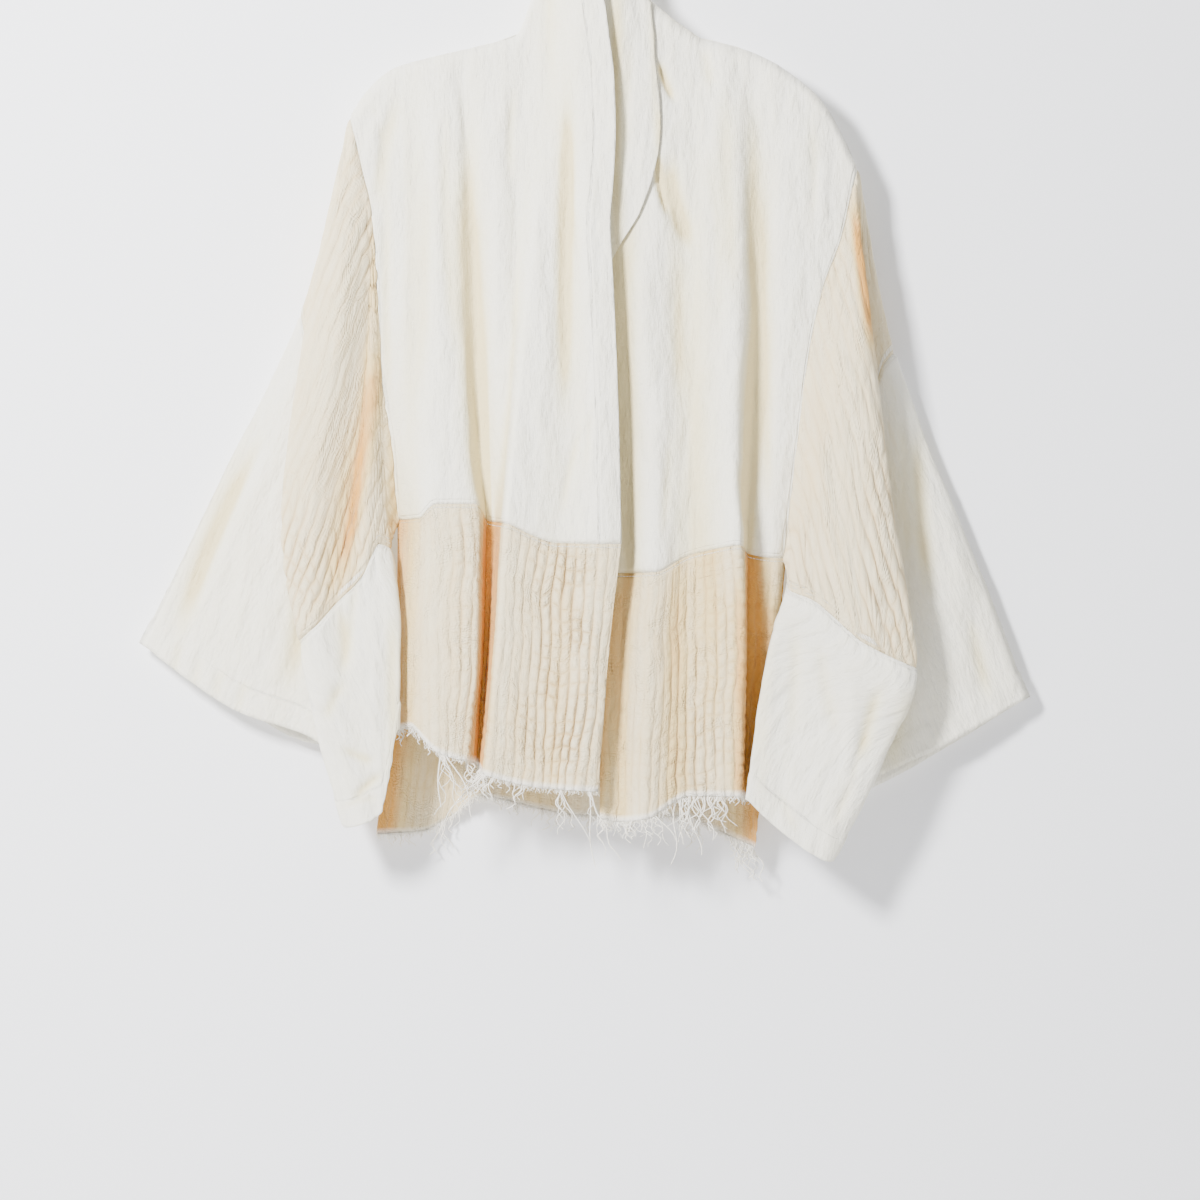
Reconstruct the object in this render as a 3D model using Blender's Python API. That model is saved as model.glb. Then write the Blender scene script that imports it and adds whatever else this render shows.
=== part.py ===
"""Open kimono jacket of white double gauze with crinkled cream bands, hung on a wooden hanger.

The origin is the point where the hanger's hook bears on its rod. +X is the viewer's right, +Z is up and
-Y is the jacket's front. The tables are in millimetres: x across, drop below the origin, and depth
behind the hanger, so a minus depth lies in front of it.
"""

import math

import bmesh
import bpy
import numpy as np

MM = 0.001

# Cloth
WALL = 1.2
CRINKLE = 1.3
CUFF_HEM = 0.7
SEAM_GAP = 0.36
MITRE_LIMIT = 2.2
CORNER_GAP = 1.0
CORNER_WALL = 0.4
SHOULDER_ROUND = 10.0
RIB_SPACING = 4.6
RIB_LEAST = 0.5
SHARP_ANGLE = 40

# Drops of the levels between the shoulders and the waist seam, and of the one halfway down the bands
CHEST = 225.0
BUST = 360.0
MIDRIFF = 477.0
BAND_MIDDLE = 675.0

# Shoulder seams from the armhole to the neck point: x, drop
LEFT_SHOULDER = [(-227, 195), (-213, 173), (-195, 155), (-182, 148), (-137, 137), (-92, 126), (-77, 121)]
RIGHT_SHOULDER = [(90, 124), (124, 133), (151, 144), (178, 162), (196, 178), (214, 207), (230, 241)]

# Armhole seams from the shoulder to the underarm: drop, x, depth in front, depth behind
LEFT_ARMHOLE = [
    (195, -227, -7, 7),
    (240, -217, -8, 8),
    (276, -209, -9, 10),
    (363, -203, -10, 12),
    (420, -201, -9, 12),
    (500, -189, -6, 8),
    (540, -186, -2, 4),
    (558, -184, 0, 0),
]
RIGHT_ARMHOLE = [
    (241, 230, -8, 8),
    (271, 224, -8, 8),
    (305, 216, -9, 9),
    (348, 200, -10, 11),
    (420, 185, -10, 12),
    (481, 178, -8, 10),
    (551, 170, -4, 6),
    (592, 165, 0, 0),
]

# Share of the way from a panel's top edge to its waist seam at which its rows lie
FRONT_ROWS = [0, 0.01, 0.025, 0.045, 0.1, 0.19, 0.32, 0.5, 0.74, 0.96, 1]
BACK_ROWS = [0, 0.01, 0.025, 0.06, 0.12, 0.22, 0.35, 0.52, 0.74, 0.96, 1]
BAND_ROWS = 3
BACK_TAIL_ROWS = 2

# Fold lines of the front that laps over, from its armhole to its free edge.
# columns to the next line; x, drop and depth at the top; x and depth at chest, bust and midriff;
# x, drop and depth at the waist seam; x and depth halfway down the band; x, drop and depth at the hem
OVER_FRONT = [
    (6, (-227, 195, 0), None, None, None, (-184, 558, 0), (-185, -1), (-185, 748, -2)),
    (2, (-172, 144, -9), (-170, -10), (-167, -16), (-167, -24), (-163, 557, -30),
     (-168, -33), (-170, 744, -33)),
    (2, (-155, 141, -11), (-146, -17), (-143, -26), (-150, -32), (-148, 544, -38),
     (-147, -42), (-146, 767, -44)),
    (1, (-138, 137, -10), (-130, -16), (-124, -24), (-122, -31), (-114, 544, -36),
     (-115, -39), (-124, 774, -40)),
    (3, (-132, 136, -10), (-121, -9), (-114, -12), (-111, -12), (-105, 558, -12),
     (-108, -12), (-114, 776, -16)),
    (3, (-103, 129, -11), (-94, -16), (-93, -22), (-94, -20), (-96, 560, -13), (-102, -13), (-109, 780, -18)),
    (3, (-77, 121, -10), (-76, -13), (-78, -19), (-84, -26), (-90, 561, -30), (-97, -32), (-106, 784, -36)),
    (3, (-49, 50, -5), (-51, -19), (-65, -32), (-76, -42), (-84, 562, -48), (-92, -52), (-102, 787, -56)),
    (4, (-38, 48, -20), (-33, -24), (-27, -30), (-31, -36), (-42, 579, -42), (-49, -44), (-56, 798, -47)),
    (3, (-20, 46, -31), (-11, -32), (-6, -38), (-2, -43), (-2, 580, -48), (-9, -52), (-24, 800, -56)),
    (0, (-9, 45, -34), None, None, None, (17, 580, -45), (6, -48), (-4, 801, -52)),
]
OVER_NECK_LINE = 6

# Free edge of the front that laps over, from its top to the waist seam: drop, x, depth
OVER_EDGE = [
    (45, -9, -34),
    (90, 2, -35),
    (119, 6, -35),
    (162, 11, -35),
    (209, 12.5, -35),
    (252, 10.5, -35),
    (292, 7.5, -35),
    (335, 9.5, -36),
    (378, 11.5, -37),
    (430, 13.5, -39),
    (477, 15, -40),
    (580, 17, -45),
]

# Fold lines of the front underneath, from the roll of its lapel to its armhole
UNDER_FRONT = [
    (3, (8, 47, -19), None, None, None, (0, 605, -26), (-2, -28), (-2, 826, -30)),
    (3, (18, 52, -16), (26, -15), (21, -16), (23, -18), (23, 606, -20), (18, -24), (16, 829, -28)),
    (3, (27, 75, -13), (54, -16), (43, -24), (48, -30), (48, 605, -36), (43, -40), (39, 826, -42)),
    (3, (90, 124, -10), (81, -12), (79, -16), (79, -20), (79, 590, -24), (77, -26), (79, 806, -30)),
    (3, (108, 128, -11), (115, -18), (120, -28), (118, -36), (122, 581, -42), (125, -40), (122, 806, -34)),
    (3, (129, 135, -10), (144, -8), (142, -6), (137, -5), (131, 588, -6), (130, -6), (128, 808, -7)),
    (8, (156, 147, -11), (176, -12), (166, -12), (159, -10), (153, 592, -7), (148, -6), (139, 811, -5)),
    (0, (230, 241, 0), None, None, None, (165, 592, 0), (157, -1), (144, 813, -2)),
]
UNDER_NECK_LINE = 3

# Roll of the lapel and the edge below it, from the top to the waist seam: drop, x, depth
UNDER_EDGE = [(47, 8, -19), (90, -1, -19), (140, -4, -18), (225, -4, -18), (360, -4, -19), (477, -3, -22),
              (605, 0, -26)]

# Fold lines of the back, from the viewer's left to right
BACK = [
    (8, (-227, 195, 0), None, None, None, (-184, 558, 0), (-185, -1), (-204, 844, 10)),
    (6, (-155, 141, 9), (-150, 12), (-148, 16), (-148, 20), (-145, 572, 22), (-146, 24), (-164, 842, 26)),
    (3, (-103, 129, 10), (-104, 16), (-104, 20), (-106, 22), (-105, 574, 24), (-106, 26), (-137, 828, 30)),
    (4, (-77, 121, 9), (-70, 12), (-68, 14), (-68, 16), (-68, 575, 18), (-70, 20), (-110, 810, 22)),
    (4, (4, 130, 14), (0, 16), (0, 20), (0, 22), (0, 576, 24), (-2, 28), (-15, 828, 32)),
    (6, (90, 124, 9), (75, 12), (72, 16), (72, 18), (70, 578, 18), (70, 22), (70, 828, 26)),
    (3, (129, 135, 10), (120, 16), (112, 20), (108, 24), (104, 580, 26), (106, 28), (102, 840, 30)),
    (8, (156, 147, 9), (172, 12), (158, 16), (145, 20), (138, 584, 22), (134, 22), (124, 850, 24)),
    (0, (230, 241, 0), None, None, None, (165, 592, 0), (157, -1), (137, 855, 8)),
]
BACK_NECK_LINES = (3, 5)
BACK_NECK_LINE = 4

# Collar behind the neck: height of its top edge at the middle and how far it stands back there
COLLAR_TOP_DROP = 52.0
COLLAR_TOP_DEPTH = 24.0

# Lapel turned out over the under front: share of the way down, and width in columns of that front
LAPEL = [(0, 7.0), (0.06, 6.9), (0.114, 6.6), (0.306, 5.5), (0.407, 4.2), (0.465, 2.3), (0.5, 1.2)]
LAPEL_ROLL = [(0, 2.0), (0.35, 6.0), (1, 4.2)]
LAPEL_COLUMNS = 5
LAPEL_ROWS = 9

# Lengthwise fold lines round each sleeve, from the shoulder down its front to the underarm, then up its
# back. share of the armhole where the line starts; then x, drop and depth at two places in the cream
# part, at the seam, halfway down the white part and at the cuff
LEFT_SLEEVE_FRONT = [
    (0, (-241, 252, 12), (-256, 315, 18), (-273, 372, 22), (-345, 520, 24), (-417, 671, 24)),
    (0.012, (-239, 266, 8), (-254, 326, 10), (-269, 392, 12), (-306, 576, 12), (-335, 729, 12)),
    (0.027, (-236, 288, 6), (-245, 387, 8), (-256, 486, 10), (-256, 621, 10), (-253, 763, 10)),
    (0.043, (-259, 351, -22), (-286, 558, -30), (-271, 666, -32), (-252, 758, -32), (-229, 834, -34)),
    (0.128, (-238, 387, -34), (-261, 558, -38), (-258, 655, -40), (-231, 756, -38), (-212, 830, -38)),
    (0.272, (-212, 400, -14), (-228, 558, -22), (-240, 635, -34), (-220, 747, -36), (-203, 825, -36)),
    (0.44, (-207, 450, -21), (-211, 549, -30), (-216, 610, -36), (-202, 711, -38), (-195, 819, -38)),
    (0.706, (-200, 505, -16), (-202, 541, -24), (-201, 580, -30), (-192, 672, -41), (-192, 803, -40)),
    (1, (-189, 566, -8), (-191, 575, -14), (-191, 584, -20), (-182, 666, -40), (-183, 744, -42)),
]
LEFT_SLEEVE_BACK = [
    (0.73, (-203, 488, 12), (-206, 516, 12), (-211, 554, 10), (-205, 666, -6), (-201, 752, -10)),
    (0.45, (-218, 396, 20), (-231, 432, 22), (-240, 477, 22), (-249, 621, 22), (-256, 761, 20)),
    (0.15, (-231, 293, 22), (-245, 338, 26), (-261, 392, 28), (-306, 576, 28), (-333, 725, 28)),
]
RIGHT_SLEEVE_FRONT = [
    (0, (240, 293, 12), (251, 351, 18), (264, 406, 22), (327, 567, 24), (385, 720, 24)),
    (0.015, (238, 306, 10), (247, 365, 12), (256, 416, 13), (291, 594, 13), (313, 761, 13)),
    (0.033, (232, 342, 8), (236, 432, 10), (238, 522, 12), (236, 666, 12), (232, 805, 12)),
    (0.056, (243, 401, -22), (258, 540, -30), (281, 691, -32), (252, 770, -34), (205, 864, -34)),
    (0.215, (230, 441, -34), (246, 567, -38), (259, 681, -40), (230, 761, -40), (189, 858, -38)),
    (0.62, (198, 522, -28), (216, 594, -34), (234, 668, -38), (210, 743, -38), (169, 844, -36)),
    (0.85, (180, 567, -16), (187, 599, -22), (193, 632, -28), (176, 720, -30), (147, 826, -32)),
    (1, (168, 600, -5), (169, 609, -10), (168, 618, -15), (147, 694, -27), (130, 809, -33)),
]
RIGHT_SLEEVE_BACK = [
    (0.7, (185, 513, 14), (192, 540, 14), (194, 567, 14), (189, 689, 12), (169, 824, 8)),
    (0.34, (214, 401, 20), (221, 446, 22), (225, 495, 24), (232, 648, 24), (234, 806, 22)),
    (0.07, (239, 313, 22), (247, 369, 26), (254, 421, 28), (291, 594, 30), (320, 761, 30)),
]

# Columns of the cream sleeves between two rows of the body at the armhole, and how many of them make one
# of the white part's; stations along the sleeve at which its rings lie, numbered as in the tables above
CREAM_SPLIT = 6
WHITE_EVERY = 3
CREAM_STATIONS = [0, 1, 2, 3]
WHITE_STATIONS = [3, 3.4, 3.9, 4.45, 4.85, 5]

# Frayed hems: share of the hem's length, threads in the cluster, its width and the longest thread
OVER_FRAYS = [(0.06, 3, 14, 18), (0.2, 6, 24, 62), (0.5, 6, 36, 38), (0.78, 4, 14, 36), (0.95, 4, 12, 66)]
UNDER_FRAYS = [(0.12, 9, 34, 16), (0.28, 3, 12, 26), (0.45, 6, 30, 58), (0.6, 4, 12, 34)]
BACK_FRAYS = [(0.1, 3, 16, 20), (0.3, 3, 40, 18), (0.55, 3, 60, 16), (0.78, 3, 20, 18), (0.94, 6, 20, 24)]
FRAY_GAP = 0.6
FRAY_STRIP = 3.0
STRIP_EVERY = 2
THREAD_WIDTH = 1.1
THREAD_TIP = 0.45
THREAD_SPACING = 2.2
THREAD_SHORTEST = 0.35
THREAD_WANDER = 0.4
CLUSTER_SWING = 0.1
CLUSTER_FAN = 0.3

# Hanger
BAR_END = 180.0
BAR_CLEARANCE = 0.6
BAR_HALF_WIDTH = 5.5
BAR_HEIGHT = 26.0
BAR_END_HEIGHT = 13.0
BAR_SIDES = 10
BAR_PEAK = (0, 103)
BAR_NOTCHES = [(-64, 125), (77, 128)]
HOOK_WIRE = 1.7
HOOK_BEND = 21.0
HOOK_SHANK = 62.0
HOOK_TURNS = (-45, 196, 15)
HOOK_ENTRY = (0.34, 1.32)


def place(points):
    """Points given as x, drop and depth in millimetres, as world points in metres."""
    points = np.asarray(points, float)
    return np.stack([points[..., 0], points[..., 2], -points[..., 1]], axis=-1) * MM


def curve(knots, values, at):
    """Smooth curve through the values at the knots that never overshoots them, read at the places given."""
    knots = np.asarray(knots, float)
    values = np.asarray(values, float)
    at = np.atleast_1d(np.asarray(at, float))
    flat = values.reshape(len(knots), -1)
    gap = np.diff(knots)[:, None]
    slope = np.diff(flat, axis=0) / gap
    tangent = np.zeros_like(flat)
    tangent[0] = slope[0]
    tangent[-1] = slope[-1]
    same_way = slope[:-1] * slope[1:] > 0
    before = 2 * gap[1:] + gap[:-1]
    after = gap[1:] + 2 * gap[:-1]
    with np.errstate(divide="ignore", invalid="ignore"):
        mean = (before + after) / (before / slope[:-1] + after / slope[1:])
    tangent[1:-1] = np.where(same_way, mean, 0)
    cell = np.clip(np.searchsorted(knots, at, side="right") - 1, 0, len(knots) - 2)
    width = gap[cell]
    t = (at[:, None] - knots[cell][:, None]) / width
    out = (
        flat[cell] * (1 + 2 * t) * (1 - t) ** 2
        + tangent[cell] * width * t * (1 - t) ** 2
        + flat[cell + 1] * t**2 * (3 - 2 * t)
        + tangent[cell + 1] * width * t**2 * (t - 1)
    )
    return out.reshape((len(at),) + values.shape[1:])


def read(table, at, column=1):
    """One column of a table, as a smooth curve over its first column."""
    rows = np.asarray(table, float)
    return curve(rows[:, 0], rows[:, column], at)


def refine(row, counts):
    """A row of points with each of its cells cut into the number of equal parts given for it."""
    parts = [row[i] + (row[i + 1] - row[i]) * (np.arange(n) / n)[:, None] for i, n in enumerate(counts)]
    return np.concatenate(parts + [row[-1:]])


def line_columns(lines):
    """The column on which each fold line lies."""
    return np.concatenate([[0], np.cumsum([line[0] for line in lines[:-1]])])


def armhole(table, shares, behind):
    """Points on one side of an armhole seam at the given shares of its drop."""
    rows = np.asarray(table, float)
    drops = rows[0, 0] + (rows[-1, 0] - rows[0, 0]) * np.asarray(shares, float)
    depth = read(table, drops, 3 if behind else 2) * over_shoulder(drops - drops[0])
    return np.stack([read(table, drops), drops, depth], axis=-1)


def free_edge(table):
    """Points on a front's free edge at its rows."""
    drops = table[0][0] + (table[-1][0] - table[0][0]) * np.asarray(FRONT_ROWS, float)
    return np.stack([read(table, drops), drops, read(table, drops, 2)], axis=-1)


def over_shoulder(below):
    """How far out the cloth is, as a share, at a drop below the shoulder seam: a quarter of an ellipse."""
    return np.sqrt(1 - (1 - np.clip(below / SHOULDER_ROUND, 0, 1)) ** 2)


def panel_grid(lines, shares, edges, rounded, shoulder):
    """Rows of points of a panel from its top edge to the waist seam.

    edges gives the points of the first and last line where it is an armhole or a free edge. rounded says
    which lines curve over the hanger from the shoulder seam. shoulder gives the top edge's drop at an x.
    """
    columns = line_columns(lines)
    lines_points = []
    for number, (_, top, chest, bust, midriff, waist, _, _) in enumerate(lines):
        if edges.get(number) is not None:
            lines_points.append(edges[number])
            continue
        knots = [top[1], CHEST, BUST, MIDRIFF, waist[1]]
        values = [(top[0], top[2]), chest, bust, midriff, (waist[0], waist[2])]
        drops = top[1] + (waist[1] - top[1]) * np.asarray(shares, float)
        across = curve(knots, values, drops)
        if number in rounded:
            across[:, 1] *= over_shoulder(drops - drops[0])
        lines_points.append(np.stack([across[:, 0], drops, across[:, 1]], axis=-1))
    grid = curve(columns, np.asarray(lines_points), np.arange(columns[-1] + 1))
    grid = grid.transpose(1, 0, 2)
    if shoulder:
        seam, first, last = shoulder
        covered = slice(columns[first], columns[last] + 1)
        top = grid[0, covered].copy()
        top[:, 1] = read(seam, top[:, 0])
        follow_top(grid, shares, covered, top)
    return grid


def follow_top(grid, shares, covered, top):
    """Move a panel's top row onto a seam, and the rows under it by as much less as they are lower."""
    fading = 1 - np.asarray(shares, float)[:, None, None]
    grid[:, covered] += (top - grid[0, covered]) * fading


def band_grid(lines, waist_row, rows, tail_rows=0, tail_from=None):
    """Rows of points of a band from its waist seam, which is the panel's last row, to the hem.

    Its cells are narrow enough for the crinkle's ribs. tail_from gives the drops at the first and last
    line where the side seams end, below which the band hangs free for tail_rows more rows.
    """
    columns = line_columns(lines)
    cell_widths = np.linalg.norm(np.diff(waist_row, axis=0), axis=1)
    counts = np.maximum(1, np.round(cell_widths / RIB_SPACING)).astype(int)
    fine = refine(np.arange(columns[-1] + 1.0)[:, None], counts)[:, 0]
    waist_drops = np.asarray([line[5][1] for line in lines], float)
    hem_drops = np.asarray([line[7][1] for line in lines], float)
    ends = hem_drops if tail_from is None else np.interp(columns, columns[[0, -1]], tail_from)
    steps = np.concatenate([np.arange(rows + 1) / rows, 1 + (1 + np.arange(tail_rows)) / max(1, tail_rows)])
    grid_lines = []
    for (_, _, _, _, _, waist, middle, hem), start, end, last in zip(lines, waist_drops, ends, hem_drops):
        drops = np.where(steps <= 1, start + (end - start) * steps, end + (last - end) * (steps - 1))
        values = [(waist[0], waist[2]), middle, (hem[0], hem[2])]
        across = curve([waist[1], BAND_MIDDLE, hem[1]], values, drops)
        grid_lines.append(np.stack([across[:, 0], drops, across[:, 1]], axis=-1))
    grid = curve(columns, np.asarray(grid_lines), fine).transpose(1, 0, 2).copy()
    grid[0] = refine(waist_row, counts)
    return grid


def sleeve_grids(front, back, front_seam, back_seam):
    """Rings of points of a sleeve: its cream part from the armhole to the seam, and its white part."""
    half = len(front_seam) - 1
    shares = [line[0] for line in front] + [line[0] for line in back]
    places = [np.interp(s, FRONT_ROWS, np.arange(half + 1)) for s in shares[: len(front)]]
    places += [2 * half - np.interp(s, BACK_ROWS, np.arange(half + 1)) for s in shares[len(front) :]]
    places = np.asarray(places)
    starts = [curve(np.arange(half + 1), front_seam, p)[0] for p in places[: len(front)]]
    starts += [curve(np.arange(half + 1), back_seam, 2 * half - p)[0] for p in places[len(front) :]]
    stations = np.asarray([[start, *line[1:]] for start, line in zip(starts, front + back)], float)

    def rings(at, columns):
        along = curve(np.arange(6), stations.transpose(1, 0, 2), at)
        wrapped = np.concatenate([places[-2:] - 2 * half, places, places[:2] + 2 * half])
        looped = np.concatenate([along[:, -2:], along, along[:, :2]], axis=1)
        return curve(wrapped, looped.transpose(1, 0, 2), columns).transpose(1, 0, 2)

    around = np.arange(2 * half * CREAM_SPLIT) / CREAM_SPLIT
    cream = rings(CREAM_STATIONS, around)
    white = rings(WHITE_STATIONS, around[::WHITE_EVERY])
    ring = np.concatenate([front_seam, back_seam[-2::-1]])
    cream[0] = refine(ring, [CREAM_SPLIT] * (2 * half))[:-1]
    looped = np.concatenate([white[0], white[0][:1]])
    cream[-1] = refine(looped, [WHITE_EVERY] * len(white[0]))[:-1]
    return cream, white


def collar_grid(bottom, left, right):
    """The collar behind the neck, between the top edges of the fronts and the back's neckline."""
    turn = np.linspace(math.pi, 0, len(bottom))
    middle = (left[-1] + right[-1]) / 2
    reach = (right[-1] - left[-1]) / 2
    top = middle + reach * np.cos(turn)[:, None]
    top[:, 1] += (COLLAR_TOP_DROP - middle[1]) * np.sin(turn)
    top[:, 2] += (COLLAR_TOP_DEPTH - middle[2]) * np.sin(turn)
    rise = np.linspace(1, 0, len(left))[:, None, None]
    grid = bottom * (1 - rise) + top * rise
    across = np.linspace(0, 1, len(bottom))[None, :, None]
    grid += (left[::-1, None] - grid[:, :1]) * (1 - across) + (right[::-1, None] - grid[:, -1:]) * across
    return grid


def lapel_grid(front):
    """The turned-out edge of the under front: that front's own points, moved forward off it."""
    shares = np.linspace(0, LAPEL[-1][0], LAPEL_ROWS)
    widths = read(LAPEL, shares)
    down = curve(FRONT_ROWS, front, shares)
    across = np.linspace(0, 1, LAPEL_COLUMNS)
    lift = read(LAPEL_ROLL, across)
    columns = np.arange(front.shape[1])
    grid = np.stack([curve(columns, row, across * width) for row, width in zip(down, widths)])
    grid[..., 2] -= lift
    return grid


def cell_normals(grid, closed):
    """Normals of a grid's points, from the cells around each point."""
    ring = np.concatenate([grid, grid[:, :1]], axis=1) if closed else grid
    down = ring[1:] - ring[:-1]
    across = ring[:, 1:] - ring[:, :-1]
    normals = np.zeros_like(ring)
    face = unit(np.cross(across[:-1], down[:, :-1]) + np.cross(across[1:], down[:, 1:]))
    normals[:-1, :-1] += face
    normals[:-1, 1:] += face
    normals[1:, :-1] += face
    normals[1:, 1:] += face
    if closed:
        normals[:, 0] += normals[:, -1]
        normals = normals[:, :-1]
    return normals


EDGES = {
    "top": (0, slice(None)),
    "bottom": (-1, slice(None)),
    "left": (slice(None), 0),
    "right": (slice(None), -1),
}


def unit(vectors):
    """The same directions at a length of one."""
    return vectors / np.maximum(np.linalg.norm(vectors, axis=-1, keepdims=True), 1e-9)


def inward(edge, beside, closed):
    """Directions from an edge's points into the cloth, square to the edge."""
    if closed:
        along = unit(np.roll(edge, -1, axis=0) - np.roll(edge, 1, axis=0))
    else:
        along = unit(np.gradient(edge, axis=0))
    into = unit(beside - edge)
    return unit(into - along * np.sum(into * along, axis=-1, keepdims=True))


class Cloth:
    """One sewn piece: its inner surface as a grid of points, and how far out its wall and relief go."""

    def __init__(self, name, grid, outward, material, closed=False, relief=None, seams=()):
        self.name = name
        self.grid = np.array(grid, float)
        self.material = material
        self.closed = closed
        self.relief = relief
        self.seams = seams
        self.faces_out = outward > 0
        self.normals = unit(cell_normals(self.grid, closed)) * outward

    def share_seam_normals(self, shared):
        """Add this piece's seam normals to those of the pieces that it meets."""
        for point, normal in self.seam_points():
            shared.setdefault(tuple(np.round(point, 2)), {}).setdefault(self.name, normal.copy())

    def seam_points(self):
        """The points on this piece's seams, each with its normal."""
        for index in self.seam_indexes():
            yield self.grid[index], self.normals[index]

    def seam_indexes(self):
        """Row and column of each point on a seam."""
        rows, columns = self.grid.shape[:2]
        for side in self.seams:
            row, column = EDGES[side]
            if side in ("top", "bottom"):
                yield from ((row % rows, number) for number in range(columns))
            else:
                yield from ((number, column % columns) for number in range(rows))

    def meet_neighbours(self, shared):
        """Tilt the wall at each seam so that it meets its neighbour's in the plane between them.

        At an underarm, where five pieces meet, each keeps its own slope and stays clear of the corner.
        """
        self.stretch = np.ones(self.grid.shape[:2])
        self.gaps = np.full(self.grid.shape[:2], SEAM_GAP / 2)
        for index in self.seam_indexes():
            met = shared[tuple(np.round(self.grid[index], 2))]
            if len(met) > 3:
                self.gaps[index] = CORNER_GAP
                self.stretch[index] = CORNER_WALL / WALL
            if len(met) not in (2, 3):
                continue
            mean = unit(np.mean(list(met.values()), axis=0))
            lean = max(float(mean @ self.normals[index]), 1 / MITRE_LIMIT)
            self.normals[index] = mean
            self.stretch[index] = 1 / lean
        self.fill_between(shared)

    def fill_between(self, shared):
        """Points that only this piece has on a seam lean as the shared points beside them do."""
        for side in self.seams:
            edge = EDGES[side]
            points = self.grid[edge]
            both = [len(shared[tuple(np.round(p, 2))]) > 1 for p in points]
            known = np.flatnonzero(both)
            if len(known) < 2:
                continue
            at = np.arange(len(points))
            period = len(points) if self.closed and side in ("top", "bottom") else None
            full = self.normals[edge] * self.stretch[edge][:, None]
            full = np.stack([np.interp(at, known, full[known, axis], period=period) for axis in range(3)], -1)
            self.gaps[edge] = np.interp(at, known, self.gaps[edge][known], period=period)
            self.stretch[edge] = np.linalg.norm(full, axis=1)
            self.normals[edge] = unit(full)

    def layers(self):
        """Inner and outer points, drawn back from each seam by half its gap."""
        reach = (WALL * self.stretch)[..., None]
        outer = self.grid + self.normals * reach
        if self.relief is not None:
            outer += self.normals * self.relief[..., None]
        inner = self.grid.copy()
        pull = np.zeros_like(self.grid)
        turned = self.grid.transpose(1, 0, 2)
        sides = {"top": (self.grid[0], self.grid[1]), "bottom": (self.grid[-1], self.grid[-2]),
                 "left": (turned[0], turned[1]), "right": (turned[-1], turned[-2])}
        for side in self.seams:
            edge = EDGES[side]
            pull[edge] += inward(*sides[side], self.closed) * self.gaps[edge][:, None]
        return inner + pull, outer + pull

    def build(self, collection):
        """A closed solid of both layers, joined by walls along the edges."""
        inner, outer = self.layers()
        rows, columns = inner.shape[:2]
        mesh = bmesh.new()
        sides = []
        for layer in (inner, outer):
            points = place(layer).reshape(-1, 3)
            sides.append(np.array([mesh.verts.new(p) for p in points]).reshape(rows, columns))
        under, over = sides
        if self.closed:
            under = np.concatenate([under, under[:, :1]], axis=1)
            over = np.concatenate([over, over[:, :1]], axis=1)
        for r in range(rows - 1):
            for c in range(under.shape[1] - 1):
                for skin, turned in ((over, not self.faces_out), (under, self.faces_out)):
                    corners = [skin[r, c], skin[r, c + 1], skin[r + 1, c + 1], skin[r + 1, c]]
                    add_pair(mesh, corners, turned)
        edges = [(under[0], over[0], False), (under[-1], over[-1], True)]
        if not self.closed:
            edges += [(under[:, 0], over[:, 0], True), (under[:, -1], over[:, -1], False)]
        for low, high, turned in edges:
            for i in range(len(low) - 1):
                add_pair(mesh, [low[i], low[i + 1], high[i + 1], high[i]], turned != (not self.faces_out))
        bmesh.ops.recalc_face_normals(mesh, faces=mesh.faces)
        return finish(self.name, mesh, self.material, collection)


def add_pair(mesh, corners, turned):
    """A four-cornered cell as two triangles, always cut along the same diagonal."""
    a, b, c, d = corners
    for triangle in ((a, b, c), (a, c, d)):
        mesh.faces.new(triangle[::-1] if turned else triangle)


def finish(name, mesh, material, collection):
    """A named object with the mesh and one material."""
    data = bpy.data.meshes.new(name)
    mesh.to_mesh(data)
    mesh.free()
    data.materials.append(material)
    data.shade_smooth()
    data.set_sharp_from_angle(angle=math.radians(SHARP_ANGLE))
    piece = bpy.data.objects.new(name, data)
    collection.objects.link(piece)
    return piece


def crinkle(grid, quiet_rows, closed=False):
    """Ribs of the crinkled gauze: every other column stands out, most where the columns are wide."""
    rows, columns = grid.shape[:2]
    spacing = np.linalg.norm(np.diff(grid, axis=1, append=grid[:, :1] if closed else grid[:, -1:]), axis=-1)
    if not closed:
        spacing[:, -1] = spacing[:, -2]
    width = np.clip(spacing / RIB_SPACING, 0, 1)
    ribs = (np.arange(columns) % 2)[None, :] * width * CRINKLE
    row_number = np.arange(rows)[:, None]
    wave = np.sin(1.9 * row_number + 0.7 * np.arange(columns)[None, :])
    uneven = RIB_LEAST + (1 - RIB_LEAST) * (1 + wave) / 2
    ribs = ribs * uneven
    ribs[quiet_rows] = 0
    return ribs


def cluster_threads(frays, length, chance):
    """Place along the hem, length, lean and sway of each loose thread, from the table of its clusters."""
    threads = []
    for share, count, width, longest in frays:
        swing, sway = chance.uniform(-CLUSTER_SWING, CLUSTER_SWING, 2)
        for i in range(count):
            spread = (i + 0.5) / count - 0.5
            at = share * length + width * spread + chance.uniform(-THREAD_WANDER, THREAD_WANDER)
            long = longest * chance.uniform(THREAD_SHORTEST, 1) ** 1.3
            threads.append((at, long, swing + CLUSTER_FAN * spread, sway))
    kept = []
    for thread in sorted(threads):
        if not THREAD_WIDTH < thread[0] < length - THREAD_WIDTH:
            continue
        if not kept or thread[0] - kept[-1][0] > THREAD_SPACING * THREAD_WIDTH:
            kept.append(thread)
    return kept


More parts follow.
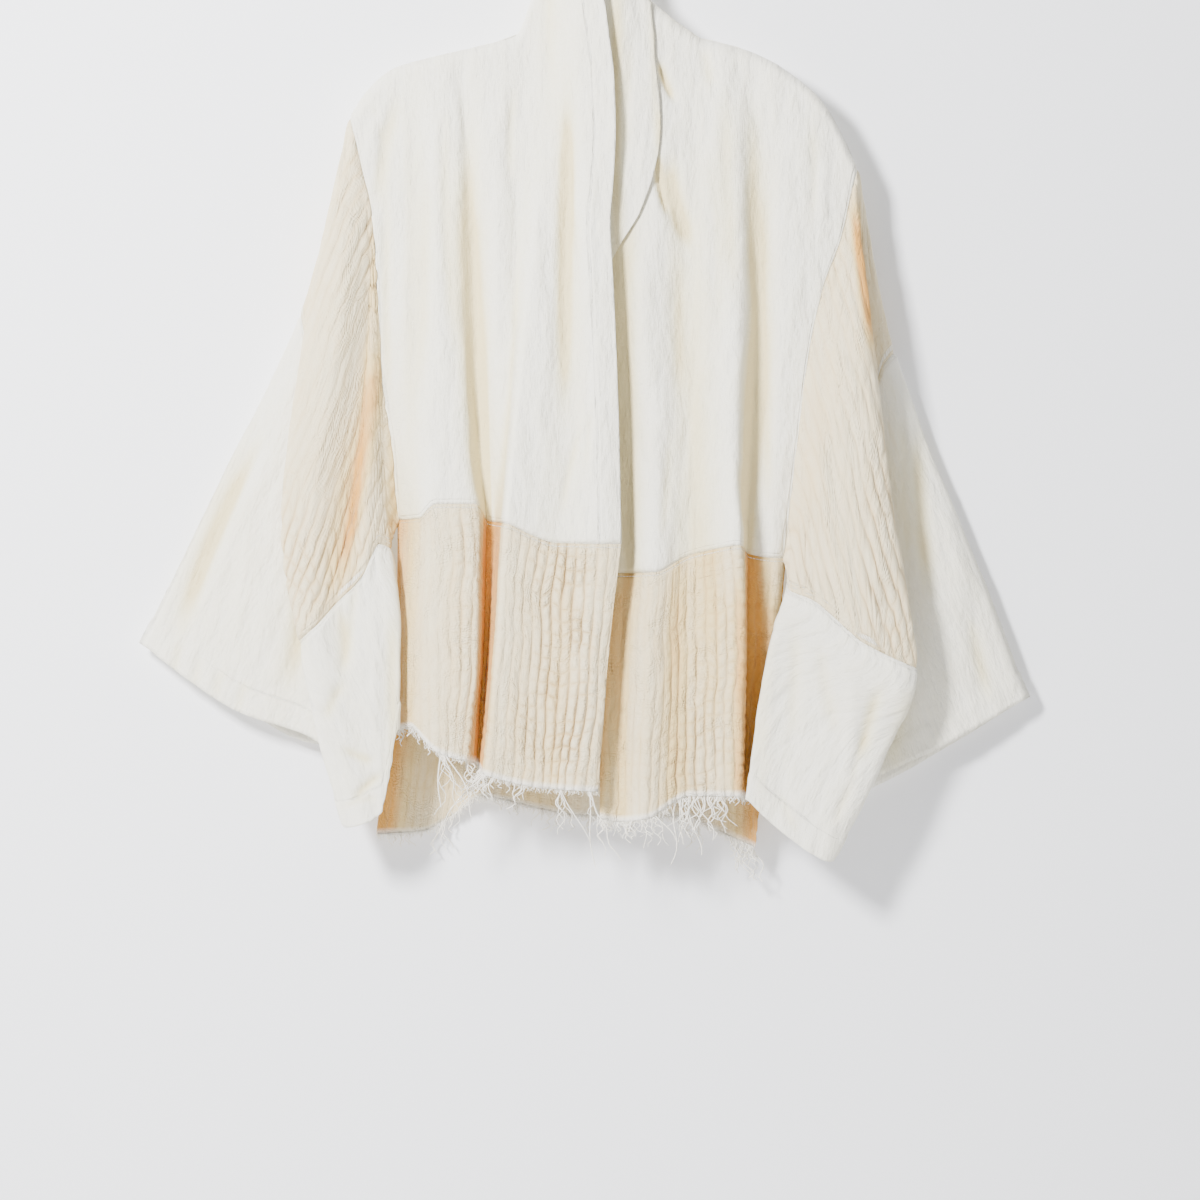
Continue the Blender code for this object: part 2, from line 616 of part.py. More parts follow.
def strip_marks(threads, length):
    """Places along a strip where its cells begin, each with the thread that hangs from that cell or None."""
    marks = {0.0: None, float(length[-1]): None}
    for at, *shape in threads:
        marks[at - THREAD_WIDTH / 2] = shape
        marks[at + THREAD_WIDTH / 2] = None
    for at in length[STRIP_EVERY::STRIP_EVERY]:
        clear_of_marks = min(abs(at - m) for m in marks) > 1.5 * THREAD_WIDTH
        clear_of_threads = all(abs(at - t[0]) >= THREAD_WIDTH for t in threads)
        if clear_of_marks and clear_of_threads:
            marks[float(at)] = None
    return marks


def frayed_strip(name, band, frays, seed, material, collection):
    """A narrow strip just below a band's hem, with loose threads hanging from it in clusters."""
    inner, outer = band.layers()
    rows = {"low": inner[-1], "high": outer[-1]}
    length = np.concatenate([[0], np.cumsum(np.linalg.norm(np.diff(inner[-1], axis=0), axis=1))])
    threads = cluster_threads(frays, length[-1], np.random.default_rng(seed))
    marks = strip_marks(threads, length)
    places = sorted(marks)
    mesh = bmesh.new()
    lines = {}
    for side, row in rows.items():
        edge = np.stack([np.interp(places, length, row[:, axis]) for axis in range(3)], -1)
        for level, drop in (("top", FRAY_GAP), ("bottom", FRAY_GAP + FRAY_STRIP)):
            lines[side, level] = [mesh.verts.new(p) for p in place(edge + np.array([0, drop, 0]))]
    corners = [("low", "top"), ("low", "bottom"), ("high", "bottom"), ("high", "top")]
    for i, at in enumerate(places[:-1]):
        faces = []
        for first, second in zip(corners, corners[1:] + corners[:1]):
            quad = [lines[first][i], lines[first][i + 1], lines[second][i + 1], lines[second][i]]
            faces.append(mesh.faces.new(quad))
        if marks[at] is not None:
            hang_thread(mesh, faces[1], *marks[at])
    for i in (0, -1):
        mesh.faces.new([lines[key][i] for key in corners])
    bmesh.ops.recalc_face_normals(mesh, faces=mesh.faces)
    return finish(name, mesh, material, collection)


def hang_thread(mesh, face, long, lean, sway):
    """Draw one cell of the strip's underside down into a tapering thread of two lengths."""
    waist = 0.8
    for tip in (waist, THREAD_TIP / (waist * THREAD_WIDTH)):
        face = bmesh.ops.extrude_discrete_faces(mesh, faces=[face])["faces"][0]
        middle = face.calc_center_median()
        for vert in face.verts:
            vert.co = middle + (vert.co - middle) * tip
            vert.co.x += (lean + sway) * long / 2 * MM
            vert.co.y += sway * long / 4 * MM
            vert.co.z -= long / 2 * MM
        sway = -2 * sway


def bar_sections(shoulders):
    """Places, top edges and heights of the wooden bar's sections, just under the shoulder seams.

    The notches beside the neck let the cloth pass round behind the bar.
    """
    left, right = ([p for p in shoulders if side * p[0] > 0 and abs(p[0]) < BAR_END] for side in (-1, 1))
    tops = left[::-1][::2] + right[::2] + BAR_NOTCHES + [BAR_PEAK]
    tops = np.asarray(sorted(tops), float)
    heights = BAR_END_HEIGHT + (BAR_HEIGHT - BAR_END_HEIGHT) * (1 - np.abs(tops[:, 0]) / BAR_END) ** 0.6
    return tops[:, 0], tops[:, 1] + BAR_CLEARANCE, heights


def hanger_bar(shoulders, material, collection):
    """A bar of wood with a rounded top, lofted through its sections."""
    xs, tops, heights = bar_sections(shoulders)
    turns = np.linspace(0, 2 * math.pi, BAR_SIDES, endpoint=False)
    mesh = bmesh.new()
    rings = []
    for x, top, height in zip(xs, tops, heights):
        depth = BAR_HALF_WIDTH * np.sin(turns)
        drop = top + height / 2 * (1 - np.cos(turns))
        ring = np.stack([np.full_like(turns, x), drop, depth], axis=-1)
        rings.append([mesh.verts.new(p) for p in place(ring)])
    for first, second in zip(rings, rings[1:]):
        for i in range(len(turns)):
            j = (i + 1) % len(turns)
            mesh.faces.new([first[i], first[j], second[j], second[i]])
    mesh.faces.new(rings[0])
    mesh.faces.new(rings[-1])
    bmesh.ops.recalc_face_normals(mesh, faces=mesh.faces)
    return finish("hanger_bar", mesh, material, collection)


def hanger_hook(material, collection):
    """A steel wire that rises from the bar, bends out and turns over the rod."""
    centre = -(HOOK_BEND - HOOK_WIRE)
    foot = -(BAR_PEAK[1] + BAR_CLEARANCE) + SEAM_GAP
    path = [(0, foot), (0, -HOOK_SHANK)]
    swing = np.radians(np.arange(*HOOK_TURNS))
    path.append((HOOK_BEND * HOOK_ENTRY[0], centre - HOOK_BEND * HOOK_ENTRY[1]))
    path += [(HOOK_BEND * math.cos(t), centre + HOOK_BEND * math.sin(t)) for t in swing]
    wire = bpy.data.curves.new("hanger_hook", "CURVE")
    wire.dimensions = "3D"
    wire.bevel_depth = HOOK_WIRE * MM
    wire.bevel_resolution = 1
    wire.use_fill_caps = True
    spline = wire.splines.new("POLY")
    spline.points.add(len(path) - 1)
    for point, (x, z) in zip(spline.points, path):
        point.co = (x * MM, 0, z * MM, 1)
    wire.materials.append(material)
    hook = bpy.data.objects.new("hanger_hook", wire)
    collection.objects.link(hook)
    return hook


def surface(name, colour, roughness, metallic=0.0):
    """A plain material."""
    material = bpy.data.materials.new(name)
    material.use_nodes = True
    shader = material.node_tree.nodes["Principled BSDF"]
    shader.inputs["Base Color"].default_value = (*colour, 1)
    shader.inputs["Roughness"].default_value = roughness
    shader.inputs["Metallic"].default_value = metallic
    material.diffuse_color = (*colour, 1)
    return material


def cuff_relief(grid):
    """The cuff's turned hem: the last two rows of the white part stand out by one more layer."""
    relief = np.zeros(grid.shape[:2])
    relief[-2:] = CUFF_HEM
    return relief


def jacket_pieces(white, cream):
    """Every sewn piece as a Cloth, with the seams that it shares with its neighbours."""
    left_front = armhole(LEFT_ARMHOLE, FRONT_ROWS, False)
    left_back = armhole(LEFT_ARMHOLE, BACK_ROWS, True)
    right_front = armhole(RIGHT_ARMHOLE, FRONT_ROWS, False)
    right_back = armhole(RIGHT_ARMHOLE, BACK_ROWS, True)

    over_edge = {0: left_front, len(OVER_FRONT) - 1: free_edge(OVER_EDGE)}
    over = panel_grid(OVER_FRONT, FRONT_ROWS, over_edge, range(1, OVER_NECK_LINE + 1),
                      (LEFT_SHOULDER, 0, OVER_NECK_LINE))
    last = len(UNDER_FRONT) - 1
    under_edge = {0: free_edge(UNDER_EDGE), last: right_front}
    under = panel_grid(UNDER_FRONT, FRONT_ROWS, under_edge, range(UNDER_NECK_LINE, last),
                       (RIGHT_SHOULDER, UNDER_NECK_LINE, last))
    end = len(BACK) - 1
    on_hanger = [n for n in range(1, end) if n != BACK_NECK_LINE]
    back = panel_grid(BACK, BACK_ROWS, {0: left_back, end: right_back}, on_hanger, None)
    over_neck = line_columns(OVER_FRONT)[OVER_NECK_LINE]
    under_neck = line_columns(UNDER_FRONT)[UNDER_NECK_LINE]
    back_neck = line_columns(BACK)[list(BACK_NECK_LINES)]
    follow_top(back, BACK_ROWS, slice(0, back_neck[0] + 1), over[0, : over_neck + 1])
    follow_top(back, BACK_ROWS, slice(back_neck[1], None), under[0, under_neck:])

    over_band = band_grid(OVER_FRONT, over[-1], BAND_ROWS)
    under_band = band_grid(UNDER_FRONT, under[-1], BAND_ROWS)
    side_ends = (OVER_FRONT[0][7][1], UNDER_FRONT[-1][7][1])
    back_band = band_grid(BACK, back[-1], BAND_ROWS, BACK_TAIL_ROWS, side_ends)
    back_band[: BAND_ROWS + 1, 0] = over_band[:, 0]
    back_band[: BAND_ROWS + 1, -1] = under_band[:, -1]

    left_cream, left_white = sleeve_grids(LEFT_SLEEVE_FRONT, LEFT_SLEEVE_BACK, over[:, 0], back[:, 0])
    right_cream, right_white = sleeve_grids(RIGHT_SLEEVE_FRONT, RIGHT_SLEEVE_BACK, under[:, -1], back[:, -1])

    over_side = over[0, over_neck : over_neck + OVER_FRONT[OVER_NECK_LINE][0] + 1]
    under_side = under[0, under_neck - UNDER_FRONT[UNDER_NECK_LINE - 1][0] : under_neck + 1][::-1]
    neckline = back[0, back_neck[0] : back_neck[1] + 1]
    collar = collar_grid(neckline, over_side, under_side)

    return [
        Cloth("over_front_panel", over, -1, white, seams=("top", "bottom", "left")),
        Cloth("over_front_band", over_band, -1, cream, relief=crinkle(over_band, [0]),
              seams=("top", "left")),
        Cloth("under_front_panel", under, -1, white, seams=("top", "bottom", "right")),
        Cloth("under_front_band", under_band, -1, cream, relief=crinkle(under_band, [0]),
              seams=("top", "right")),
        Cloth("back_panel", back, 1, white, seams=("top", "bottom", "left", "right")),
        Cloth("back_band", back_band, 1, cream, relief=crinkle(back_band, [0]),
              seams=("top", "left", "right")),
        Cloth("collar", collar, 1, white, seams=("bottom", "left", "right")),
        Cloth("under_lapel", lapel_grid(under), -1, white),
        Cloth("left_sleeve_upper", left_cream, -1, cream, closed=True,
              relief=crinkle(left_cream, [0, -1], True), seams=("top", "bottom")),
        Cloth("left_sleeve_lower", left_white, -1, white, closed=True, relief=cuff_relief(left_white),
              seams=("top",)),
        Cloth("right_sleeve_upper", right_cream, 1, cream, closed=True,
              relief=crinkle(right_cream, [0, -1], True), seams=("top", "bottom")),
        Cloth("right_sleeve_lower", right_white, 1, white, closed=True, relief=cuff_relief(right_white),
              seams=("top",)),
    ]


def main():
    for old in list(bpy.data.objects):
        bpy.data.objects.remove(old)
    collection = bpy.data.collections.new("kimono_jacket_on_hanger")
    bpy.context.scene.collection.children.link(collection)
    white = surface("white_gauze", (0.86, 0.84, 0.79), 0.9)
    cream = surface("cream_crinkle_gauze", (0.76, 0.68, 0.56), 0.92)
    wood = surface("hanger_wood", (0.52, 0.34, 0.18), 0.5)
    steel = surface("hook_steel", (0.62, 0.62, 0.63), 0.3, 1.0)

    pieces = jacket_pieces(white, cream)
    shared = {}
    for piece in pieces:
        piece.share_seam_normals(shared)
    for piece in pieces:
        piece.meet_neighbours(shared)
        piece.build(collection)

    by_name = {piece.name: piece for piece in pieces}
    frayed_strip("over_fringe", by_name["over_front_band"], OVER_FRAYS, 3, cream, collection)
    frayed_strip("under_fringe", by_name["under_front_band"], UNDER_FRAYS, 5, cream, collection)
    frayed_strip("back_fringe", by_name["back_band"], BACK_FRAYS, 8, cream, collection)

    back = by_name["back_panel"].grid[0]
    neck = line_columns(BACK)[list(BACK_NECK_LINES)]
    shoulders = [tuple(p[:2]) for p in np.concatenate([back[: neck[0] + 1], back[neck[1] :]])]
    hanger_bar(shoulders, wood, collection)
    hanger_hook(steel, collection)


main()
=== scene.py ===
"""Looks of the open kimono jacket on its hanger: crinkled gauze, creases, sewing and frayed hems.

The tables are in millimetres: x across, drop below the point where the hook bears on its rod, and depth
behind the hanger, so a minus depth lies in front of it. +X is the viewer's right and -Y the front.
"""

import functools
import math

import bpy
import numpy as np
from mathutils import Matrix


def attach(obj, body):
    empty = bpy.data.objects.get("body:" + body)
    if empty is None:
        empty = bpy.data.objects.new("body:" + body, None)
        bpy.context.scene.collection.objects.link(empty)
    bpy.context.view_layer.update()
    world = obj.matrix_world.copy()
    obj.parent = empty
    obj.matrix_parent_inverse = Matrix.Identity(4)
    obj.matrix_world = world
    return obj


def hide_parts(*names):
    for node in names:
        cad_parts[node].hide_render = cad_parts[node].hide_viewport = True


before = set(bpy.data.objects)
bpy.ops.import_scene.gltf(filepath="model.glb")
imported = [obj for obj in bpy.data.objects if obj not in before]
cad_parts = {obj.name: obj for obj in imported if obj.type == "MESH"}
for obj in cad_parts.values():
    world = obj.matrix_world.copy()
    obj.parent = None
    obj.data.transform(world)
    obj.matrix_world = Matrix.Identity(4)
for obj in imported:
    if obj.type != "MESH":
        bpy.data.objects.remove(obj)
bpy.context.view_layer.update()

MM = 0.001

# Cloth
WALL = 1.2
THICKNESS = 0.9
SHOULDER_ROUND = 10.0
SEAM_DIP = 4.0
RIB_PITCH = 9.0
RIB_HEIGHT = 3.0
TIE_PITCH = 11.5
PANEL_SPLIT = 4
PANEL_ROWS = 150
BAND_ROWS = 72
RIB_CELLS = 7
UPPER_SLEEVE_CELLS = (440, 60)
LOWER_SLEEVE_CELLS = (240, 76)
CUFF_HEM = 24.0
LATTICE = 89

# Reach to both sides and full depth of the folds that get painted shade: open pieces, then sleeves
FOLD = (21, 22)
HOLLOW = (24, 12)

# Lines of stitches, as distances from the edge
ARMHOLE_STITCH = 5
SEAM_STITCH = 3
FACING_STITCH = 19

# Colours: lit, painted half shade and painted fold shade, for the two kinds of gauze; then threads, and the
# painted shade of deep grooves
WHITE = ((0.85, 0.825, 0.735), (0.82, 0.765, 0.57), (0.74, 0.63, 0.36))
CREAM = ((0.745, 0.66, 0.475), (0.71, 0.535, 0.25), (0.62, 0.30, 0.06))
THREAD_COLOUR = (0.88, 0.865, 0.81, 1)
GROOVE_SHADE_COLOUR = (0.54, 0.38, 0.19, 1)

# Drops of the levels between the shoulders and the waist seam, and of the one halfway down the bands
CHEST = 225.0
BUST = 360.0
MIDRIFF = 477.0
BAND_MIDDLE = 675.0

# Shoulder seams from the armhole to the neck point: x, drop
LEFT_SHOULDER = [(-227, 195), (-213, 173), (-195, 155), (-182, 148), (-137, 137), (-92, 126), (-77, 121)]
RIGHT_SHOULDER = [(90, 124), (124, 133), (151, 144), (178, 162), (196, 178), (214, 207), (230, 241)]

# Armhole seams from the shoulder to the underarm: drop, x, depth in front, depth behind
LEFT_ARMHOLE = [
    (195, -227, -7, 7), (240, -217, -8, 8), (276, -209, -9, 10), (363, -203, -10, 12),
    (420, -201, -9, 12), (500, -189, -6, 8), (540, -186, -2, 4), (558, -184, 0, 0),
]
RIGHT_ARMHOLE = [
    (241, 230, -8, 8), (271, 224, -8, 8), (305, 216, -9, 9), (348, 200, -10, 11), (420, 185, -10, 12),
    (481, 178, -8, 10), (551, 170, -4, 6), (592, 165, 0, 0),
]

# Places round an armhole where the sleeves' fold lines are tied to it, as shares of its drop
FRONT_ROWS = [0, 0.01, 0.025, 0.045, 0.1, 0.19, 0.32, 0.5, 0.74, 0.96, 1]
BACK_ROWS = [0, 0.01, 0.025, 0.06, 0.12, 0.22, 0.35, 0.52, 0.74, 0.96, 1]

# Fold lines of the front that laps over, from its armhole to its free edge.
# columns to the next line; x, drop and depth at the top; x and depth at chest, bust and midriff;
# x, drop and depth at the waist seam; x and depth halfway down the band; x, drop and depth at the hem
OVER_FRONT = [
    (6, (-227, 195, 0), None, None, None, (-184, 558, 0), (-185, -1), (-185, 748, -2)),
    (2, (-172, 144, -9), (-170, -10), (-167, -16), (-167, -24), (-163, 557, -30),
     (-168, -33), (-170, 744, -33)),
    (2, (-155, 141, -11), (-146, -17), (-143, -26), (-150, -32), (-148, 544, -38),
     (-147, -42), (-146, 767, -44)),
    (1, (-138, 137, -10), (-130, -16), (-124, -24), (-122, -31), (-114, 544, -36),
     (-115, -39), (-124, 774, -40)),
    (3, (-132, 136, -10), (-121, -9), (-114, -12), (-111, -12), (-105, 558, -12),
     (-108, -12), (-114, 776, -16)),
    (3, (-103, 129, -11), (-94, -16), (-93, -22), (-94, -20), (-96, 560, -13), (-102, -13), (-109, 780, -18)),
    (3, (-77, 121, -10), (-76, -13), (-78, -19), (-84, -26), (-90, 561, -30), (-97, -32), (-106, 784, -36)),
    (3, (-49, 50, -5), (-51, -19), (-65, -32), (-76, -42), (-84, 562, -48), (-92, -52), (-102, 787, -56)),
    (4, (-38, 48, -20), (-33, -24), (-27, -30), (-31, -36), (-42, 579, -42), (-49, -44), (-56, 798, -47)),
    (3, (-20, 46, -31), (-11, -32), (-6, -38), (-2, -43), (-2, 580, -48), (-9, -52), (-24, 800, -56)),
    (0, (-9, 45, -34), None, None, None, (17, 580, -45), (6, -48), (-4, 801, -52)),
]
OVER_NECK_LINE = 6

# Free edge of the front that laps over, from its top to the waist seam: drop, x, depth
OVER_EDGE = [
    (45, -9, -34), (90, 2, -35), (119, 6, -35), (162, 11, -35), (209, 12.5, -35), (252, 10.5, -35),
    (292, 7.5, -35), (335, 9.5, -36), (378, 11.5, -37), (430, 13.5, -39), (477, 15, -40), (580, 17, -45),
]

# Fold lines of the front underneath, from the roll of its lapel to its armhole
UNDER_FRONT = [
    (3, (8, 47, -19), None, None, None, (0, 605, -26), (-2, -28), (-2, 826, -30)),
    (3, (18, 52, -16), (26, -15), (21, -16), (23, -18), (23, 606, -20), (18, -24), (16, 829, -28)),
    (3, (27, 75, -13), (54, -16), (43, -24), (48, -30), (48, 605, -36), (43, -40), (39, 826, -42)),
    (3, (90, 124, -10), (81, -12), (79, -16), (79, -20), (79, 590, -24), (77, -26), (79, 806, -30)),
    (3, (108, 128, -11), (115, -18), (120, -28), (118, -36), (122, 581, -42), (125, -40), (122, 806, -34)),
    (3, (129, 135, -10), (144, -8), (142, -6), (137, -5), (131, 588, -6), (130, -6), (128, 808, -7)),
    (8, (156, 147, -11), (176, -12), (166, -12), (159, -10), (153, 592, -7), (148, -6), (139, 811, -5)),
    (0, (230, 241, 0), None, None, None, (165, 592, 0), (157, -1), (144, 813, -2)),
]
UNDER_NECK_LINE = 3

# Roll of the lapel and the edge below it, from the top to the waist seam: drop, x, depth
UNDER_EDGE = [(47, 8, -19), (90, -1, -19), (140, -4, -18), (225, -4, -18), (360, -4, -19), (477, -3, -22),
              (605, 0, -26)]

# Fold lines of the back, from the viewer's left to right
BACK = [
    (8, (-227, 195, 0), None, None, None, (-184, 558, 0), (-185, -1), (-204, 844, 10)),
    (6, (-155, 141, 9), (-150, 12), (-148, 16), (-148, 20), (-145, 572, 22), (-146, 24), (-164, 842, 26)),
    (3, (-103, 129, 10), (-104, 16), (-104, 20), (-106, 22), (-105, 574, 24), (-106, 26), (-137, 828, 30)),
    (4, (-77, 121, 9), (-70, 12), (-68, 14), (-68, 16), (-68, 575, 18), (-70, 20), (-110, 810, 22)),
    (4, (4, 130, 14), (0, 16), (0, 20), (0, 22), (0, 576, 24), (-2, 28), (-15, 828, 32)),
    (6, (90, 124, 9), (75, 12), (72, 16), (72, 18), (70, 578, 18), (70, 22), (70, 828, 26)),
    (3, (129, 135, 10), (120, 16), (112, 20), (108, 24), (104, 580, 26), (106, 28), (102, 840, 30)),
    (8, (156, 147, 9), (172, 12), (158, 16), (145, 20), (138, 584, 22), (134, 22), (124, 850, 24)),
    (0, (230, 241, 0), None, None, None, (165, 592, 0), (157, -1), (137, 855, 8)),
]
BACK_NECK_LINES = (3, 5)
BACK_NECK_LINE = 4

# Collar behind the neck: height of its top edge at the middle and how far it stands back there
COLLAR_TOP_DROP = 52.0
COLLAR_TOP_DEPTH = 24.0

# Lapel turned out over the under front: share of the way down, and width in columns of that front
LAPEL = [(0, 7.0), (0.06, 6.9), (0.114, 6.6), (0.306, 5.5), (0.407, 4.2), (0.465, 2.3), (0.5, 1.2)]
LAPEL_ROLL = [(0, 0.4), (0.08, 2.6), (0.35, 6.0), (1, 4.0)]
LAPEL_CELLS = (56, 110)

# Lengthwise fold lines round each sleeve, from the shoulder down its front to the underarm, then up its
# back. share of the armhole where the line starts; then x, drop and depth at two places in the cream
# part, at the seam, halfway down the white part and at the cuff
LEFT_SLEEVE_FRONT = [
    (0, (-241, 252, 12), (-256, 315, 18), (-273, 372, 22), (-345, 520, 24), (-417, 671, 24)),
    (0.012, (-239, 266, 8), (-254, 326, 10), (-269, 392, 12), (-306, 576, 12), (-335, 729, 12)),
    (0.027, (-236, 288, 6), (-245, 387, 8), (-256, 486, 10), (-256, 621, 10), (-253, 763, 10)),
    (0.043, (-259, 351, -22), (-286, 558, -30), (-271, 666, -32), (-252, 758, -32), (-229, 834, -34)),
    (0.128, (-238, 387, -34), (-261, 558, -38), (-258, 655, -40), (-231, 756, -38), (-212, 830, -38)),
    (0.272, (-212, 400, -14), (-228, 558, -22), (-240, 635, -34), (-220, 747, -36), (-203, 825, -36)),
    (0.44, (-207, 450, -21), (-211, 549, -30), (-216, 610, -36), (-202, 711, -38), (-195, 819, -38)),
    (0.706, (-200, 505, -16), (-202, 541, -24), (-201, 580, -30), (-192, 672, -41), (-192, 803, -40)),
    (1, (-189, 566, -8), (-191, 575, -14), (-191, 584, -20), (-182, 666, -40), (-183, 744, -42)),
]
LEFT_SLEEVE_BACK = [
    (0.73, (-203, 488, 12), (-206, 516, 12), (-211, 554, 10), (-205, 666, -6), (-201, 752, -10)),
    (0.45, (-218, 396, 20), (-231, 432, 22), (-240, 477, 22), (-249, 621, 22), (-256, 761, 20)),
    (0.15, (-231, 293, 22), (-245, 338, 26), (-261, 392, 28), (-306, 576, 28), (-333, 725, 28)),
]
RIGHT_SLEEVE_FRONT = [
    (0, (240, 293, 12), (251, 351, 18), (264, 406, 22), (327, 567, 24), (385, 720, 24)),
    (0.015, (238, 306, 10), (247, 365, 12), (256, 416, 13), (291, 594, 13), (313, 761, 13)),
    (0.033, (232, 342, 8), (236, 432, 10), (238, 522, 12), (236, 666, 12), (232, 805, 12)),
    (0.056, (243, 401, -22), (258, 540, -30), (281, 691, -32), (252, 770, -34), (205, 864, -34)),
    (0.215, (230, 441, -34), (246, 567, -38), (259, 681, -40), (230, 761, -40), (189, 858, -38)),
    (0.62, (198, 522, -28), (216, 594, -34), (234, 668, -38), (210, 743, -38), (169, 844, -36)),
    (0.85, (180, 567, -16), (187, 599, -22), (193, 632, -28), (176, 720, -30), (147, 826, -32)),
    (1, (168, 600, -5), (169, 609, -10), (168, 618, -15), (147, 694, -27), (130, 809, -33)),
]
RIGHT_SLEEVE_BACK = [
    (0.7, (185, 513, 14), (192, 540, 14), (194, 567, 14), (189, 689, 12), (169, 824, 8)),
    (0.34, (214, 401, 20), (221, 446, 22), (225, 495, 24), (232, 648, 24), (234, 806, 22)),
    (0.07, (239, 313, 22), (247, 369, 26), (254, 421, 28), (291, 594, 30), (320, 761, 30)),
]
SLEEVE_SEAM_STATION = 3
CUFF_STATION = 5

# Painted shade in streaks, where light comes only off other cloth, and painted light where the amount is
# minus: x and drop of both ends, half width, amount, bend
OVER_BAND_SHADE = [(-190, 500, -190, 820, 6, 0.9, 0), (-177, 500, -178, 820, 8, -0.25, 0),
                  (-96, 520, -104, 820, 6, 0.4, 0), (-134, 560, -136, 790, 10, 0.1, 0)]
UNDER_BAND_SHADE = [(9, 540, -12, 900, 12, 0.75, 0), (28, 560, 17, 900, 8, -0.25, 0),
                   (128, 560, 124, 900, 9, 0.7, 0),
                   (150, 560, 140, 900, 14, 0.6, 0), (60, 560, 56, 860, 26, 0.12, 0)]
BACK_BAND_SHADE = [(-200, 640, -198, 900, 14, 0.8, 0), (-140, 600, -140, 860, 34, 0.25, 0),
                  (-50, 700, -56, 880, 26, 0.2, 0), (130, 700, 134, 900, 20, 0.45, 0)]
OVER_PANEL_SHADE = [(-29, 130, -34, 500, 7, 0.6, 2), (-126, 200, -100, 600, 13, 0.4, 3)]
LAPEL_SHADE = [(12, 0, 13, 400, 7, 0.9, 0), (44, 60, 50, 260, 4, 0.4, 0), (52, 180, 54, 240, 4, 0.6, 0)]
UNDER_PANEL_SHADE = [(14, 150, 14, 700, 17, 0.9, 0), (50, 225, 53, 270, 3.5, 0.8, 0),
                    (64, 260, 78, 480, 9, 0.35, 3), (130, 380, 130, 600, 8, 0.35, 0)]
LEFT_CUFF_SHADE = [(-300, 380, -392, 690, 15, 0.16, 6), (-262, 440, -300, 780, 14, 0.25, -5),
                  (-350, 420, -330, 760, 30, 0.12, 0), (-186, 600, -186, 830, 8, 0.4, 0)]
RIGHT_CUFF_SHADE = [(258, 430, 284, 700, 8, 0.3, 4), (330, 540, 350, 760, 24, 0.08, 0),
                   (280, 700, 262, 800, 10, 0.4, 3), (150, 620, 140, 830, 8, 0.3, 0)]
LEFT_SLEEVE_SHADE = [(-202, 360, -238, 640, 7, 0.75, -6), (-192, 440, -188, 620, 6, 0.4, 0),
                    (-205, 260, -204, 400, 5, 0.35, 0), (-226, 440, -254, 660, 14, 0.2, -5)]
RIGHT_SLEEVE_SHADE = [(226, 250, 245, 425, 4.5, 1.0, 2), (270, 480, 292, 690, 5, 0.25, 0),
                     (206, 400, 178, 600, 8, 0.1, 0)]

# Where the crinkle is strong: a base strength, then x, drop, half width, half length and extra strength
OVER_BAND_ZONES = (0.16, [(-123, 670, 11, 220, 0.6), (-103, 660, 9, 200, 0.3), (-36, 620, 30, 95, 0.95),
                          (-30, 745, 34, 90, 0.95), (-72, 760, 24, 50, 0.4), (-146, 760, 10, 40, 0.3)])
UNDER_BAND_ZONES = (0.18, [(94, 720, 26, 140, 0.55), (120, 700, 8, 160, 0.5), (150, 690, 18, 150, 0.3),
                           (60, 780, 40, 50, 0.35), (40, 620, 20, 40, 0.2)])
BACK_BAND_ZONES = (0.5, [(-60, 700, 60, 90, 0.3), (90, 680, 50, 120, 0.3), (-150, 800, 50, 60, -0.2)])
LEFT_SLEEVE_ZONES = (0.24, [(-202, 300, 26, 60, 0.6), (-252, 615, 40, 50, 0.5), (-226, 530, 18, 70, 0.4),
                           (-280, 590, 25, 60, 0.3)])
RIGHT_SLEEVE_ZONES = (0.22, [(214, 320, 22, 50, 0.3), (268, 640, 34, 60, 0.55), (248, 540, 22, 80, 0.3),
                            (180, 590, 24, 40, 0.2)])

# Directions in which the crinkle's ribs run down each sleeve, seen from the front: x, drop; and the fold
# line from which they are counted
LEFT_SLEEVE_RIBS = ((-0.36, 0.93), 3)
RIGHT_SLEEVE_RIBS = ((0.26, 0.97), 3)

# Creases: x and drop of both ends, half width, height (minus for a trough) and bend
OVER_PANEL_CREASES = [
    (-29, 170, -33, 470, 6.5, -5.2, 2), (-12, 200, -14, 430, 7, 2.1, 1),
    (-126, 190, -106, 575, 9, -3.4, 3), (-64, 200, -60, 520, 10, 2.3, -3),
    (-194, 240, -192, 480, 5, -2.1, 2), (-182, 165, -203, 285, 7, -2.6, 4),
    (-196, 172, -215, 262, 6, 1.8, 2), (-206, 178, -197, 222, 4, -1.6, 1),
    (-141, 170, -129, 430, 6, -2.1, 5), (-106, 175, -112, 300, 5, 1.7, -3),
    (-78, 160, -82, 262, 4, -1.6, 3), (-160, 210, -166, 470, 5, -1.2, -4),
    (-176, 300, -172, 540, 6, 1.3, 3), (-60, 250, -70, 420, 4, -1.2, 2), (-48, 330, -60, 545, 4, 1.3, -3),
    (-18, 470, -38, 566, 3.5, -1.7, 2), (-8, 452, -14, 520, 3, -1.0, 1),
    (-30, 180, -22, 330, 3.5, -1.0, 2), (-150, 480, -138, 545, 4, 1.2, 2),
    (-122, 470, -108, 552, 4, -1.4, 1),
]
